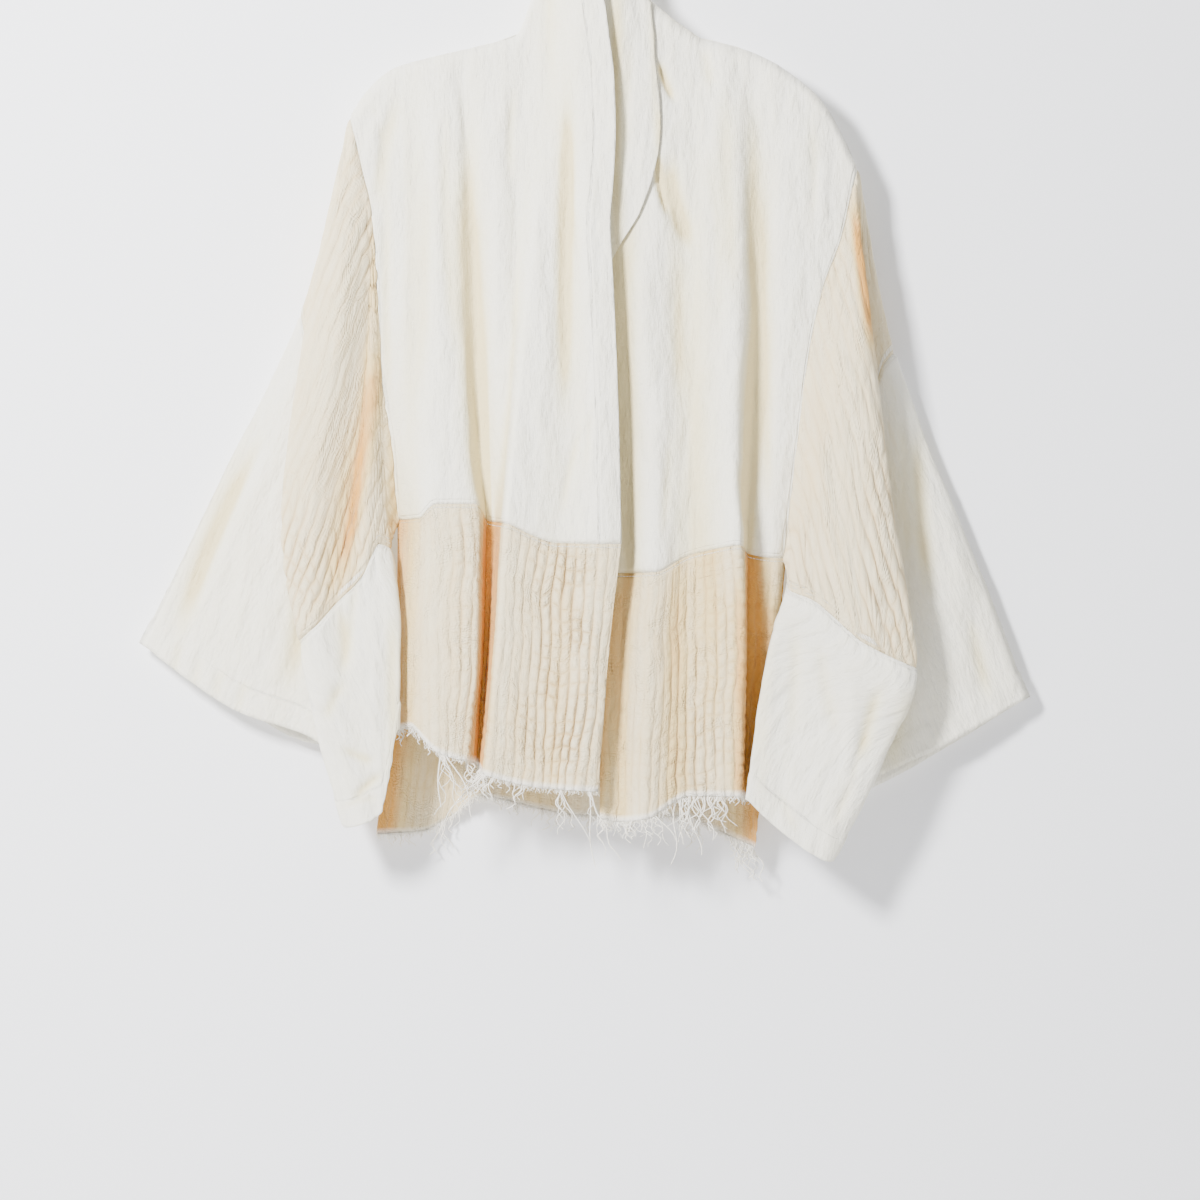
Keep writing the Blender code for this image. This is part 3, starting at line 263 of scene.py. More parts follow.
UNDER_PANEL_CREASES = [
    (50, 140, 67, 184, 3, -4.8, 2), (46, 232, 60, 288, 2.6, -5.3, 1), (57, 225, 82, 320, 7, -4.5, 5),
    (36, 300, 40, 460, 8, 2.8, 2), (92, 240, 90, 560, 9, 2.5, -2), (112, 150, 120, 380, 8, -2.5, 3),
    (150, 220, 146, 560, 8, -2.5, 3), (52, 139, 68, 180, 4, -2.0, 2), (91, 127, 101, 172, 5, -1.7, 1),
    (49, 220, 59, 283, 3, -2.5, 1), (62, 215, 86, 318, 6, -2.1, 4), (74, 300, 70, 470, 5, -1.3, 3),
    (96, 210, 104, 420, 5, -1.4, -4), (136, 174, 139, 383, 7, -2.0, 2), (170, 190, 161, 330, 6, 1.7, 3),
    (187, 185, 190, 300, 5, -1.4, -3), (205, 215, 196, 330, 5, 1.4, 2), (152, 350, 150, 560, 5, -1.4, 2),
    (60, 470, 52, 585, 4, -1.7, -2), (100, 480, 96, 570, 4, 1.3, 2), (122, 500, 130, 572, 3.5, -1.4, 1),
]
LAPEL_CREASES = [
    (28, 110, 22, 250, 4, -1.3, 2), (40, 180, 34, 270, 4, 1.2, -1),
]
BACK_PANEL_CREASES = [
    (-190, 165, -205, 300, 7, -1.6, 3), (-165, 180, -158, 420, 6, 1.2, -4),
    (-128, 160, -122, 500, 6, -1.4, 5), (-86, 170, -92, 380, 5, 1.2, -3),
    (-48, 150, -40, 520, 6, -1.2, 4), (-18, 200, -24, 460, 5, 1.0, -2), (24, 160, 30, 540, 6, -1.3, -4),
    (58, 210, 50, 420, 5, 1.0, 3), (98, 160, 92, 500, 6, -1.4, -5), (132, 190, 126, 430, 5, 1.1, 3),
    (170, 180, 160, 480, 6, -1.2, 4), (200, 210, 190, 350, 5, 1.1, 2), (-150, 440, -140, 560, 5, 1.1, 2),
    (60, 450, 70, 570, 5, -1.0, 2),
]
LEFT_CUFF_CREASES = [
    (-300, 470, -392, 680, 9, -4.6, 6), (-290, 470, -366, 660, 8, 3.2, 4),
    (-318, 540, -345, 700, 7, 1.6, -5), (-382, 664, -389, 702, 4, -1.9, 1),
    (-366, 678, -372, 712, 4, -1.5, -1), (-345, 690, -350, 722, 4, -1.6, 1),
    (-322, 700, -331, 735, 4, -1.6, 1), (-268, 560, -285, 720, 8, -3.2, -4),
    (-236, 632, -232, 702, 5, -3.0, -3), (-230, 700, -249, 742, 5, -2.4, 2),
    (-219, 602, -226, 690, 4, -1.6, 2), (-205, 620, -207, 760, 5, 1.6, -3),
    (-188, 640, -186, 760, 5, -1.4, 2), (-236, 760, -200, 776, 4, -2.7, 2),
    (-193, 783, -225, 812, 4, -3.0, 2), (-196, 806, -236, 816, 3, -1.4, 1),
]
RIGHT_CUFF_CREASES = [
    (158, 625, 150, 790, 7, 1.6, 3), (172, 640, 168, 760, 6, -1.4, -3), (196, 660, 214, 760, 6, -1.4, 4),
    (226, 690, 216, 790, 6, 1.4, -3), (252, 700, 232, 780, 6, -3.2, 3), (240, 742, 222, 800, 3, -1.4, 2),
    (226, 790, 206, 836, 3.5, -1.6, 1), (160, 800, 178, 842, 4, -1.2, 2),
    (286, 460, 300, 640, 8, -3.5, 4), (300, 500, 336, 690, 8, 3.0, -4), (272, 440, 280, 620, 5, -1.5, 2),
    (322, 620, 352, 730, 6, -2.7, -3), (262, 620, 270, 740, 6, 1.4, 3),
]

# Frayed clusters along the hems, from the viewer's left: share of the hem's length, threads, spread,
# longest thread, and how far its tips lean for each millimetre that they hang
OVER_FRAYS = [
    (0.03, 5, 10, 16, -0.1), (0.16, 10, 34, 10, 0.1), (0.26, 8, 8, 62, 0.25), (0.37, 6, 8, 32, 0.1),
    (0.5, 14, 30, 24, -0.2), (0.5, 7, 12, 62, -0.7), (0.6, 12, 26, 26, -0.3), (0.7, 4, 26, 10, 0.2),
    (0.73, 4, 5, 28, -0.6), (0.86, 6, 5, 60, 0.2), (0.97, 4, 3, 72, 0.02),
]
UNDER_FRAYS = [
    (0.04, 8, 16, 12, -0.3), (0.12, 26, 44, 20, 0.12), (0.25, 9, 15, 28, 0.5), (0.38, 18, 44, 9, 0.1),
    (0.47, 10, 18, 58, 0.05), (0.56, 12, 24, 44, 0.12), (0.63, 6, 9, 34, 0.28), (0.8, 10, 50, 9, 0),
]
BACK_FRAYS = [
    (0.06, 8, 22, 12, 0.1), (0.18, 7, 16, 30, -0.1), (0.34, 14, 46, 12, 0.2), (0.5, 12, 50, 18, -0.2),
    (0.66, 14, 46, 12, 0.1), (0.79, 9, 22, 34, 0.1), (0.94, 16, 26, 34, 0.1), (0.985, 8, 8, 18, 0.3),
]
FUZZ_SPACING = 0.75
FUZZ_LENGTH = 5.0
THREAD_RADIUS = 0.6
THREAD_POINTS = 10
THREAD_SWAY = 0.3
LONGEST_SWAYING = 22
SEWN_IN = 1.5

# The photograph: a camera 4 m in front, whose picture is 1.08 m square in the plane of the fronts
CAMERA_DISTANCE = 4000.0
PICTURE_WIDTH = 1080.0
PICTURE_MIDDLE = (-1.8, 630.0)
FRONTS_DEPTH = -22.0
WALL_DEPTH = 42.0
FLOOR_DROP = 1500.0
WALL_TOP_DROP = -2600.0
ROOM_HALF = 6000.0


def place(points):
    """Points given as x, drop and depth in millimetres, as world points in metres."""
    points = np.asarray(points, float)
    return np.stack([points[..., 0], points[..., 2], -points[..., 1]], axis=-1) * MM


def curve(knots, values, at):
    """Smooth curve through the values at the knots that never overshoots them: a cubic between each pair
    of knots, whose slope at a knot is the weighted harmonic mean of the slopes on both sides of it."""
    knots = np.asarray(knots, float)
    values = np.asarray(values, float)
    at = np.atleast_1d(np.asarray(at, float))
    flat = values.reshape(len(knots), -1)
    gap = np.diff(knots)[:, None]
    slope = np.diff(flat, axis=0) / gap
    tangent = np.zeros_like(flat)
    tangent[0] = slope[0]
    tangent[-1] = slope[-1]
    before = 2 * gap[1:] + gap[:-1]
    after = gap[1:] + 2 * gap[:-1]
    with np.errstate(divide="ignore", invalid="ignore"):
        mean = (before + after) / (before / slope[:-1] + after / slope[1:])
    tangent[1:-1] = np.where(slope[:-1] * slope[1:] > 0, mean, 0)
    cell = np.clip(np.searchsorted(knots, at, side="right") - 1, 0, len(knots) - 2)
    width = gap[cell]
    t = (at[:, None] - knots[cell][:, None]) / width
    out = (
        flat[cell] * (1 + 2 * t) * (1 - t) ** 2
        + tangent[cell] * width * t * (1 - t) ** 2
        + flat[cell + 1] * t**2 * (3 - 2 * t)
        + tangent[cell + 1] * width * t**2 * (t - 1)
    )
    return out.reshape((len(at),) + values.shape[1:])


def read(table, at, column=1):
    """One column of a table, as a smooth curve over its first column."""
    rows = np.asarray(table, float)
    return curve(rows[:, 0], rows[:, column], at)


def unit(vectors):
    """The same directions at a length of one."""
    return vectors / np.maximum(np.linalg.norm(vectors, axis=-1, keepdims=True), 1e-9)


def ease(share):
    """A share from 0 to 1 that starts and ends gently: 3 s squared less 2 s cubed."""
    share = np.clip(share, 0, 1)
    return share * share * (3 - 2 * share)


def uneven(across, down, cell_across, cell_down, seed):
    """Smooth random heights from -1 to 1: random numbers on a lattice of cells, eased between them."""
    numbers = np.random.default_rng(seed).uniform(-1, 1, (LATTICE, LATTICE))
    column = np.asarray(across) / cell_across
    row = np.asarray(down) / cell_down
    left = np.floor(column).astype(int)
    top = np.floor(row).astype(int)
    right_share = ease(column - left)
    bottom_share = ease(row - top)

    def across_row(number):
        here = numbers[number % LATTICE, left % LATTICE]
        beside = numbers[number % LATTICE, (left + 1) % LATTICE]
        return here * (1 - right_share) + beside * right_share

    return across_row(top) * (1 - bottom_share) + across_row(top + 1) * bottom_share


def line_columns(lines):
    """The column on which each fold line lies."""
    return np.concatenate([[0], np.cumsum([line[0] for line in lines[:-1]])])


def over_shoulder(below):
    """How far out the cloth is, as a share, at a drop below the shoulder seam: a quarter of an ellipse."""
    return np.sqrt(1 - (1 - np.clip(below / SHOULDER_ROUND, 0, 1)) ** 2)


def edge_points(table, shares, column=2, rounded=False):
    """Points down a free edge or one side of an armhole at shares of its drop: a table's first column is
    the drop, its second the x and the given one the depth, which may be rounded over the shoulder."""
    drops = table[0][0] + (table[-1][0] - table[0][0]) * np.asarray(shares, float)
    depth = read(table, drops, column)
    if rounded:
        depth = depth * over_shoulder(drops - drops[0])
    return np.stack([read(table, drops), drops, depth], axis=-1)


def panel_surface(lines, shares, edges, rounded, shoulder):
    """A panel from its top edge to its waist seam: smooth curves down its fold lines through the levels,
    then smooth curves across those lines, with the top row moved onto the shoulder seam."""
    columns = line_columns(lines)
    lines_points = []
    for number, (_, top, chest, bust, midriff, waist, _, _) in enumerate(lines):
        if number in edges:
            lines_points.append(edges[number])
            continue
        knots = [top[1], CHEST, BUST, MIDRIFF, waist[1]]
        values = [(top[0], top[2]), chest, bust, midriff, (waist[0], waist[2])]
        drops = top[1] + (waist[1] - top[1]) * shares
        across = curve(knots, values, drops)
        if number in rounded:
            across[:, 1] *= over_shoulder(drops - drops[0])
        lines_points.append(np.stack([across[:, 0], drops, across[:, 1]], axis=-1))
    fine = np.arange(columns[-1] * PANEL_SPLIT + 1) / PANEL_SPLIT
    grid = curve(columns, np.asarray(lines_points), fine).transpose(1, 0, 2)
    if shoulder:
        seam, first, last = shoulder
        covered = slice(columns[first] * PANEL_SPLIT, columns[last] * PANEL_SPLIT + 1)
        top = grid[0, covered].copy()
        top[:, 1] = read(seam, top[:, 0])
        follow_top(grid, shares, covered, top)
    return grid


def follow_top(grid, shares, covered, top):
    """Move a panel's top row onto a seam, and the rows under it by as much less as they are lower."""
    grid[:, covered] += (top - grid[0, covered]) * (1 - shares)[:, None, None]


def band_surface(lines, waist_row, columns, steps, tail_from=None):
    """A band from the waist seam to the hem: smooth curves down its fold lines, then across them. Steps
    run from 0 at the waist to 1 at the hem, and on to 2 where the band hangs free below its side seams."""
    line_at = line_columns(lines)
    hem_drops = np.asarray([line[7][1] for line in lines], float)
    ends = hem_drops if tail_from is None else np.interp(line_at, line_at[[0, -1]], tail_from)
    lines_points = []
    for (_, _, _, _, _, waist, middle, hem), end in zip(lines, ends):
        drops = np.where(steps <= 1, waist[1] + (end - waist[1]) * steps, end + (hem[1] - end) * (steps - 1))
        values = [(waist[0], waist[2]), middle, (hem[0], hem[2])]
        across = curve([waist[1], BAND_MIDDLE, hem[1]], values, drops)
        lines_points.append(np.stack([across[:, 0], drops, across[:, 1]], axis=-1))
    grid = curve(line_at, np.asarray(lines_points), columns).transpose(1, 0, 2).copy()
    at = np.arange(len(waist_row)) / PANEL_SPLIT
    top = np.stack([np.interp(columns, at, waist_row[:, axis]) for axis in range(3)], axis=-1)
    grid += (top - grid[0]) * (1 - ease(steps * 4))[:, None, None]
    return grid


def row_lengths(grid):
    """Distance along each row from its first point."""
    steps = np.linalg.norm(np.diff(grid, axis=1), axis=-1)
    return np.concatenate([np.zeros((len(grid), 1)), np.cumsum(steps, axis=1)], axis=1)


def column_lengths(grid):
    """Distance down each column from its first point."""
    return row_lengths(grid.transpose(1, 0, 2)).T


def rib_columns(lines, waist_row, side):
    """Columns of a band, so that each rib has the same number of cells and each groove lies on one. The
    distances come from a coarse band, averaged over its rows, and are counted from the given side."""
    last = line_columns(lines)[-1]
    coarse = np.linspace(0, last, 400)
    lengths = row_lengths(band_surface(lines, waist_row, coarse, np.linspace(0, 1, 12))).mean(axis=0)
    ribs = round(lengths[-1] / RIB_PITCH)
    wanted = np.linspace(0, lengths[-1], ribs * RIB_CELLS + 1)
    across = wanted if side > 0 else wanted - lengths[-1]
    return np.interp(wanted, lengths, coarse), across


def sleeve_rings(front, back, seam):
    """A sleeve as a function of station, from 0 at the armhole to 5 at the cuff, and place round it, from
    0 at the shoulder to 10 at the underarm and 20 back at the shoulder. Smooth curves run along its fold
    lines and then round them, and the first ring fades into the armhole seam itself."""
    half = len(FRONT_ROWS) - 1
    places = [np.interp(line[0], FRONT_ROWS, np.arange(half + 1)) for line in front]
    places += [2 * half - np.interp(line[0], BACK_ROWS, np.arange(half + 1)) for line in back]
    places = np.asarray(places)

    def on_seam(around):
        """Points of the armhole seam at places round it."""
        before = edge_points(seam, np.interp(around, np.arange(half + 1), FRONT_ROWS), 2, True)
        behind = edge_points(seam, np.interp(2 * half - around, np.arange(half + 1), BACK_ROWS), 3, True)
        return np.where((around <= half)[:, None], before, behind)

    stations = np.asarray([[start, *line[1:]] for start, line in zip(on_seam(places), front + back)], float)

    def rings(at, around):
        along = curve(np.arange(6), stations.transpose(1, 0, 2), at)
        wrapped = np.concatenate([places[-2:] - 2 * half, places, places[:2] + 2 * half])
        looped = np.concatenate([along[:, -2:], along, along[:, :2]], axis=1)
        grid = curve(wrapped, looped.transpose(1, 0, 2), around).transpose(1, 0, 2).copy()
        start = curve(wrapped, np.concatenate([stations[-2:, 0], stations[:, 0], stations[:2, 0]]), around)
        fade = np.clip(1 - np.asarray(at), 0, 1) ** 2
        return grid + (on_seam(around) - start) * fade[:, None, None]

    return rings


def even_places(rings, at, cells):
    """Places round a sleeve, about as far apart from each other all round, on the average of its rings."""
    coarse = np.linspace(0, 20, 401)
    lengths = row_lengths(rings(at, np.minimum(coarse, 19.9999))).mean(axis=0)
    return np.interp(np.arange(cells) / cells * lengths[-1], lengths, coarse)


def sleeve_rib_distance(rings, at, around, direction, line):
    """Distance across a sleeve's ribs: at the line that they are counted from, the front view's distance
    square to the ribs, and away from it the length round the ring, with what runs along the ribs left out.
    The two ways round meet at the seam under the arm."""
    along = np.array([direction[0], direction[1], 0])
    square = np.array([direction[1], -direction[0], 0])
    opened = np.concatenate([around, [20.0]])
    grid = rings(at, np.minimum(opened, 19.9999))
    steps = np.diff(grid, axis=1)
    steps = steps - (steps @ along)[..., None] * along
    lengths = np.linalg.norm(steps, axis=-1)
    total = np.concatenate([np.zeros((len(at), 1)), np.cumsum(lengths, axis=1)], axis=1)
    reference = int(np.argmin(np.abs(around - line)))
    distance = total - total[:, reference : reference + 1]
    under_arm = opened > 10
    distance[:, under_arm] -= total[:, -1:]
    base = grid[:, reference] @ square
    sign = -1 if direction[0] > 0 else 1
    return base[:, None] + sign * distance


def collar_surface(bottom, left, right):
    """The collar behind the neck: straight up from the neckline to half an ellipse, with both ends drawn
    onto the edges of the fronts' own collars."""
    turn = np.linspace(math.pi, 0, len(bottom))
    middle = (left[-1] + right[-1]) / 2
    reach = (right[-1] - left[-1]) / 2
    top = middle + reach * np.cos(turn)[:, None]
    top[:, 1] += (COLLAR_TOP_DROP - middle[1]) * np.sin(turn)
    top[:, 2] += (COLLAR_TOP_DEPTH - middle[2]) * np.sin(turn)
    rise = np.linspace(1, 0, len(left))[:, None, None]
    grid = bottom * (1 - rise) + top * rise
    across = np.linspace(0, 1, len(bottom))[None, :, None]
    grid += (left[::-1, None] - grid[:, :1]) * (1 - across) + (right[::-1, None] - grid[:, -1:]) * across
    return grid


def lapel_surface(front, shares):
    """The turned-out edge of the under front: that front's own points, moved forward off it in a roll."""
    wide, long = LAPEL_CELLS
    down = np.linspace(0, LAPEL[-1][0], long)
    across = np.linspace(0, 1, wide)
    rows = np.interp(down, shares, np.arange(len(shares)))
    columns = across[None, :] * read(LAPEL, down)[:, None] * PANEL_SPLIT
    top = np.floor(rows).astype(int)
    left = np.floor(columns).astype(int)
    row_share = (rows - top)[:, None, None]
    column_share = (columns - left)[..., None]
    top = top[:, None]
    upper = front[top, left] * (1 - column_share) + front[top, left + 1] * column_share
    lower = front[top + 1, left] * (1 - column_share) + front[top + 1, left + 1] * column_share
    grid = upper * (1 - row_share) + lower * row_share
    grid[..., 2] -= read(LAPEL_ROLL, across)
    return grid


def outward_normals(grid, closed, sign):
    """Directions square to a grid's surface, from the differences to the points beside each point."""
    if closed:
        across = np.roll(grid, -1, axis=1) - np.roll(grid, 1, axis=1)
    else:
        across = np.gradient(grid, axis=1)
    return unit(np.cross(across, np.gradient(grid, axis=0))) * sign


def creases(grid, table):
    """Sum of the creases' heights at each point: a bell curve across each crease, about a line that bends
    by a parabola, fading out at both ends."""
    height = np.zeros(grid.shape[:2])
    for x0, drop0, x1, drop1, half_width, tall, bend in table:
        run = np.array([x1 - x0, drop1 - drop0], float)
        length = np.hypot(*run)
        run /= length
        from_start = grid[..., :2] - (x0, drop0)
        along = (from_start @ run) / length
        beside = from_start @ np.array([-run[1], run[0]]) - bend * 4 * along * (1 - along)
        fade = ease(along * 3) * ease((1 - along) * 3)
        height += tall * np.exp(-((beside / half_width) ** 2)) * fade
    return height


def sunken(grid, sign, reach, full):
    """How deep each point of a front or back lies in a fold, from 0 to 1 at the full depth: how far behind
    the foremost point within reach to both sides."""
    forward = grid[..., 2] * sign
    cells = max(1, int(reach / (row_lengths(grid)[:, -1].mean() / (grid.shape[1] - 1))))
    padded = np.pad(forward, ((0, 0), (cells, cells)), mode="edge")
    windows = np.lib.stride_tricks.sliding_window_view(padded, 2 * cells + 1, axis=1)
    return ease((windows.max(axis=-1) - forward) / full)


def hollows(grid, normals, reach, full):
    """How deep each point lies in a fold, from 0 to 1 at the full depth: how far the mean of the points
    within reach to both sides lies outside it. The grid closes on itself round a sleeve."""
    lengths = row_lengths(grid)
    cells = max(2, int(reach / (lengths[:, -1].mean() / (grid.shape[1] - 1))))
    padded = np.pad(grid, ((0, 0), (cells, cells), (0, 0)), mode="wrap")
    sums = np.cumsum(np.concatenate([np.zeros_like(padded[:, :1]), padded], axis=1), axis=1)
    mean = (sums[:, 2 * cells + 1 :] - sums[:, : -2 * cells - 1]) / (2 * cells + 1)
    return np.clip(np.sum((mean - grid) * normals, axis=-1) / full, 0, 1)


def rib_heights(across, down):
    """Crinkled gauze: rounded ribs with narrow grooves between them, drawn in by ties across the ribs."""
    to_groove = np.abs(2 * np.mod(across / RIB_PITCH, 1) - 1)
    groove = 0.65 * to_groove**2 + 0.35 * to_groove**5
    tie = np.abs(2 * np.mod(down / TIE_PITCH, 1) - 1) ** 2.2
    tied = ease(0.75 + 1.2 * uneven(across, down, 31, 23, 8)) * tie
    return RIB_HEIGHT * ((1 - groove) * (1 - 0.8 * tied) - 0.5)


def rib_strength(grid, zones):
    """How strong the crinkle is at each point: a base, and more or less of it near each spot of a table."""
    base, spots = zones
    strength = np.full(grid.shape[:2], base)
    for x, drop, wide, long, amount in spots:
        near = ((grid[..., 0] - x) / wide) ** 2 + ((grid[..., 1] - drop) / long) ** 2
        strength += amount * np.exp(-near)
    return np.clip(strength, 0.08, 1.3)


class Shell:
    """One sewn piece: a thin shell on a grid of points, with its heights, patterns and sewing lines."""

    def __init__(self, name, grid, sign, seams=(), stitches=(), closed=False):
        self.name = name
        self.grid = grid
        self.sign = sign
        self.closed = closed
        self.normals = outward_normals(grid, closed, sign)
        self.opened = np.concatenate([grid, grid[:, :1]], axis=1) if closed else grid
        self.across = row_lengths(self.opened)
        self.down = column_lengths(self.opened)
        self.from_side = {
            "left": self.across,
            "right": self.across[:, -1:] - self.across,
            "top": self.down,
            "bottom": self.down[-1:] - self.down,
        }
        self.seams = seams
        self.stitches = stitches
        self.height = np.full(grid.shape[:2], WALL)
        self.pattern = (self.across, self.down) if closed else (grid[..., 0], grid[..., 1])
        self.place_in_noise = self.pattern
        # Fold shade: painted shade, warmer and darker the deeper a point lies in a fold
        if closed:
            self.fold_shade = hollows(grid, self.normals, *HOLLOW)
        else:
            self.fold_shade = sunken(grid, sign, *FOLD)
        self.strength = np.zeros(self.across.shape)
        self.raw = np.zeros(self.across.shape)

    def trimmed(self, field):
        """A field on the opened grid, without the repeated last column of a closed piece."""
        return field[:, :-1] if self.closed else field

    def add(self, height):
        self.height = self.height + height

    def crease(self, table):
        """The creases of a table, the troughs lower and with painted shade in them."""
        height = creases(self.grid, table)
        self.add(height)
        self.fold_shade = np.clip(self.fold_shade + 0.22 * np.maximum(-height, 0), 0, 1)

    def warm(self, table):
        """Painted shade in streaks where light reaches the cloth only off other cloth; a minus amount paints
        light instead.
        """
        facing = ease(0.5 - 2 * self.normals[..., 2]) if self.closed else 1.0
        self.fold_shade = np.clip(self.fold_shade + creases(self.grid, table) * facing, 0, 1)

    def rumple(self, amount, seed):
        """Soft unevenness of hung cloth, longer down the cloth than across it."""
        across, down = self.place_in_noise
        large = uneven(across, down, 34, 120, seed)
        small = uneven(across, down, 11, 46, seed + 1)
        least = uneven(across, down, 6, 9, seed + 50)
        self.add(self.trimmed(amount * (0.68 * large + 0.22 * small + 0.1 * least)))

    def pucker(self, side, amount, reach, spacing, seed):
        """Small gathers along a seam that fade away from it."""
        distance = self.from_side[side]
        along = self.down if side in ("left", "right") else self.across
        ripple = uneven(along, distance, spacing, reach * 2, seed)
        self.add(self.trimmed(amount * ripple * np.exp(-((distance / reach) ** 2))))

    def dip_at_seams(self):
        """The cloth sinks into each seam, where both pieces share their edge."""
        for side in self.seams:
            self.height = self.height * self.trimmed(ease(self.from_side[side] / SEAM_DIP))

    def sewing(self):
        """Distance to the nearest line of stitches, and distance along it."""
        nearest = np.full(self.across.shape, 1000.0)
        along = np.zeros(self.across.shape)
        for side, inset in self.stitches:
            distance = np.abs(self.from_side[side] - inset)
            closer = distance < nearest
            run = self.down if side in ("left", "right") else self.across
            nearest = np.where(closer, distance, nearest)
            along = np.where(closer, run, along)
        return nearest, along

    def points(self):
        return self.grid + self.normals * self.height[..., None]

    def build(self, material):
        """The mesh, one quad to a cell, with its pattern, sewing, painted fold shade, crinkle strength and
        raw edge, and a wall inside it.
        """
        self.dip_at_seams()
        rows, columns = self.grid.shape[:2]
        index = np.arange(rows * columns).reshape(rows, columns)
        if self.closed:
            index = np.concatenate([index, index[:, :1]], axis=1)
        corner_index = np.arange(index.size).reshape(index.shape)
        mesh = quad_mesh(self.name, place(self.points()).reshape(-1, 3), index, self.sign > 0)
        for label, fields in (("pattern", self.pattern), ("sewing", self.sewing())):
            flat = np.stack(fields, axis=-1).reshape(-1, 2) * MM
            layer = mesh.uv_layers.new(name=label)
            layer.data.foreach_set("uv", flat[quad_corners(corner_index, self.sign > 0)].ravel())
        for label, values in (("fold_shade", self.fold_shade), ("strength", self.trimmed(self.strength)),
                              ("raw", self.trimmed(self.raw))):
            mesh.attributes.new(label, "FLOAT", "POINT").data.foreach_set("value", values.ravel())
        piece = put(self.name, mesh, material)
        wall = piece.modifiers.new("wall", "SOLIDIFY")
        wall.thickness = THICKNESS * MM
        wall.offset = -1
        return piece


def quad_corners(index, turned):
    """Corner numbers of every cell of a grid, in the order that turns its faces outwards."""
    order = [index[:-1, :-1], index[1:, :-1], index[1:, 1:], index[:-1, 1:]]
    if not turned:
        order = order[::-1]
    return np.stack(order, axis=-1).ravel()


def quad_mesh(name, points, index, turned):
    """A smooth mesh with one quad for each cell of a grid of point numbers."""
    corners = quad_corners(index, turned)
    mesh = bpy.data.meshes.new(name)
    mesh.vertices.add(len(points))
    mesh.vertices.foreach_set("co", points.ravel())
    mesh.loops.add(len(corners))
    mesh.loops.foreach_set("vertex_index", corners)
    mesh.polygons.add(len(corners) // 4)
    mesh.polygons.foreach_set("loop_start", np.arange(0, len(corners), 4))
    mesh.update(calc_edges=True)
    mesh.shade_smooth()
    return mesh


def put(name, mesh, material):
    """A mesh as an object in the scene, with its material."""
    mesh.materials.append(material)
    piece = bpy.data.objects.new(name, mesh)
    bpy.context.scene.collection.objects.link(piece)
    return piece


def threads_mesh(name, paths, radii, material):
    """Threads as tapering tubes of four sides, carried along their paths."""
    along = unit(np.gradient(paths, axis=1))
    first = unit(np.cross(along, np.array([0.13, 0.21, 0.97])))
    second = np.cross(along, first)
    ways = np.stack([first, second, -first, -second], axis=2)
    points = paths[:, :, None] + ways * radii[:, :, None, None]
    count, long = paths.shape[:2]
    index = np.arange(count * long * 4).reshape(count, long, 4)
    index = np.concatenate([index, index[..., :1]], axis=-1)
    order = [index[:, :-1, :-1], index[:, :-1, 1:], index[:, 1:, 1:], index[:, 1:, :-1]]
    mesh = bpy.data.meshes.new(name)
    mesh.from_pydata(place(points).reshape(-1, 3), [], np.stack(order, axis=-1).reshape(-1, 4).tolist())
    mesh.shade_smooth()
    return put(name, mesh, material)


def frayed_hem(name, band, frays, seed, material):
    """Fuzz all along a band's raw edge and clusters of long loose threads, each a random soft curl."""
    edge = band.points()[-1]
    normals = band.normals[-1]
    lengths = row_lengths(edge[None])[0]
    chance = np.random.default_rng(seed)
    fuzz = np.arange(0.5, lengths[-1] - 0.5, FUZZ_SPACING)
    starts = [fuzz]
    longs = [FUZZ_LENGTH * chance.uniform(0.25, 1, len(fuzz)) ** 1.5]
    leans = [chance.normal(0, 0.45, len(fuzz))]
    curls = [chance.uniform(0.2, 1.2, len(fuzz))]
    for share, count, spread, longest, lean in frays:
        starts.append(np.clip(share * lengths[-1] + spread * chance.uniform(-0.5, 0.5, count), 1,
                              lengths[-1] - 1))
        longs.append(longest * chance.uniform(0.3, 1, count))
        leans.append(lean + chance.normal(0, 0.22, count))
        curls.append(chance.uniform(0.3, 1, count))
    start, long, lean, curl = (np.concatenate(parts) for parts in (starts, longs, leans, curls))
    count = len(start)
    root = np.stack([np.interp(start, lengths, edge[:, axis]) for axis in range(3)], axis=-1)
    facing = np.stack([np.interp(start, lengths, normals[:, axis]) for axis in range(3)], axis=-1)
    root -= facing * chance.uniform(0.1, THICKNESS, (count, 1))
    share = np.linspace(0, 1, THREAD_POINTS)[None, :]
    turns = chance.uniform(0.6, 2.2, (count, 2, 1)) * share[None].repeat(2, axis=0).transpose(1, 0, 2)
    phase = chance.uniform(0, 2 * math.pi, (count, 2, 1))
    sway = (np.sin(2 * math.pi * turns + phase) - np.sin(phase)) * share[:, None] ** 0.6
    amount = np.minimum(long, LONGEST_SWAYING)[:, None] * curl[:, None] * THREAD_SWAY
    paths = np.empty((count, THREAD_POINTS, 3))
    paths[..., 0] = root[:, :1] + lean[:, None] * long[:, None] * share + amount * sway[:, 0]
    paths[..., 1] = root[:, 1:2] - SEWN_IN + (long[:, None] + SEWN_IN) * share
    paths[..., 2] = root[:, 2:] + amount * 0.5 * sway[:, 1] * share
    thick = np.where(long > FUZZ_LENGTH, 1.3, 0.7)[:, None] * chance.uniform(0.6, 1.15, (count, 1))
    radii = THREAD_RADIUS * (1 - 0.5 * share) * thick
    return threads_mesh(name, paths, radii, material)


def group(name, inputs, outputs):
    """A new shader node group of plain numbers: itself, its graph, its inputs and its outputs."""
    made = bpy.data.node_groups.new(name, "ShaderNodeTree")
    for labels, way in ((inputs, "INPUT"), (outputs, "OUTPUT")):
        for label in labels:
            made.interface.new_socket(label, in_out=way, socket_type="NodeSocketFloat")
    source = made.nodes.new("NodeGroupInput")
    target = made.nodes.new("NodeGroupOutput")
    return made, Graph(made), source.outputs, target.inputs


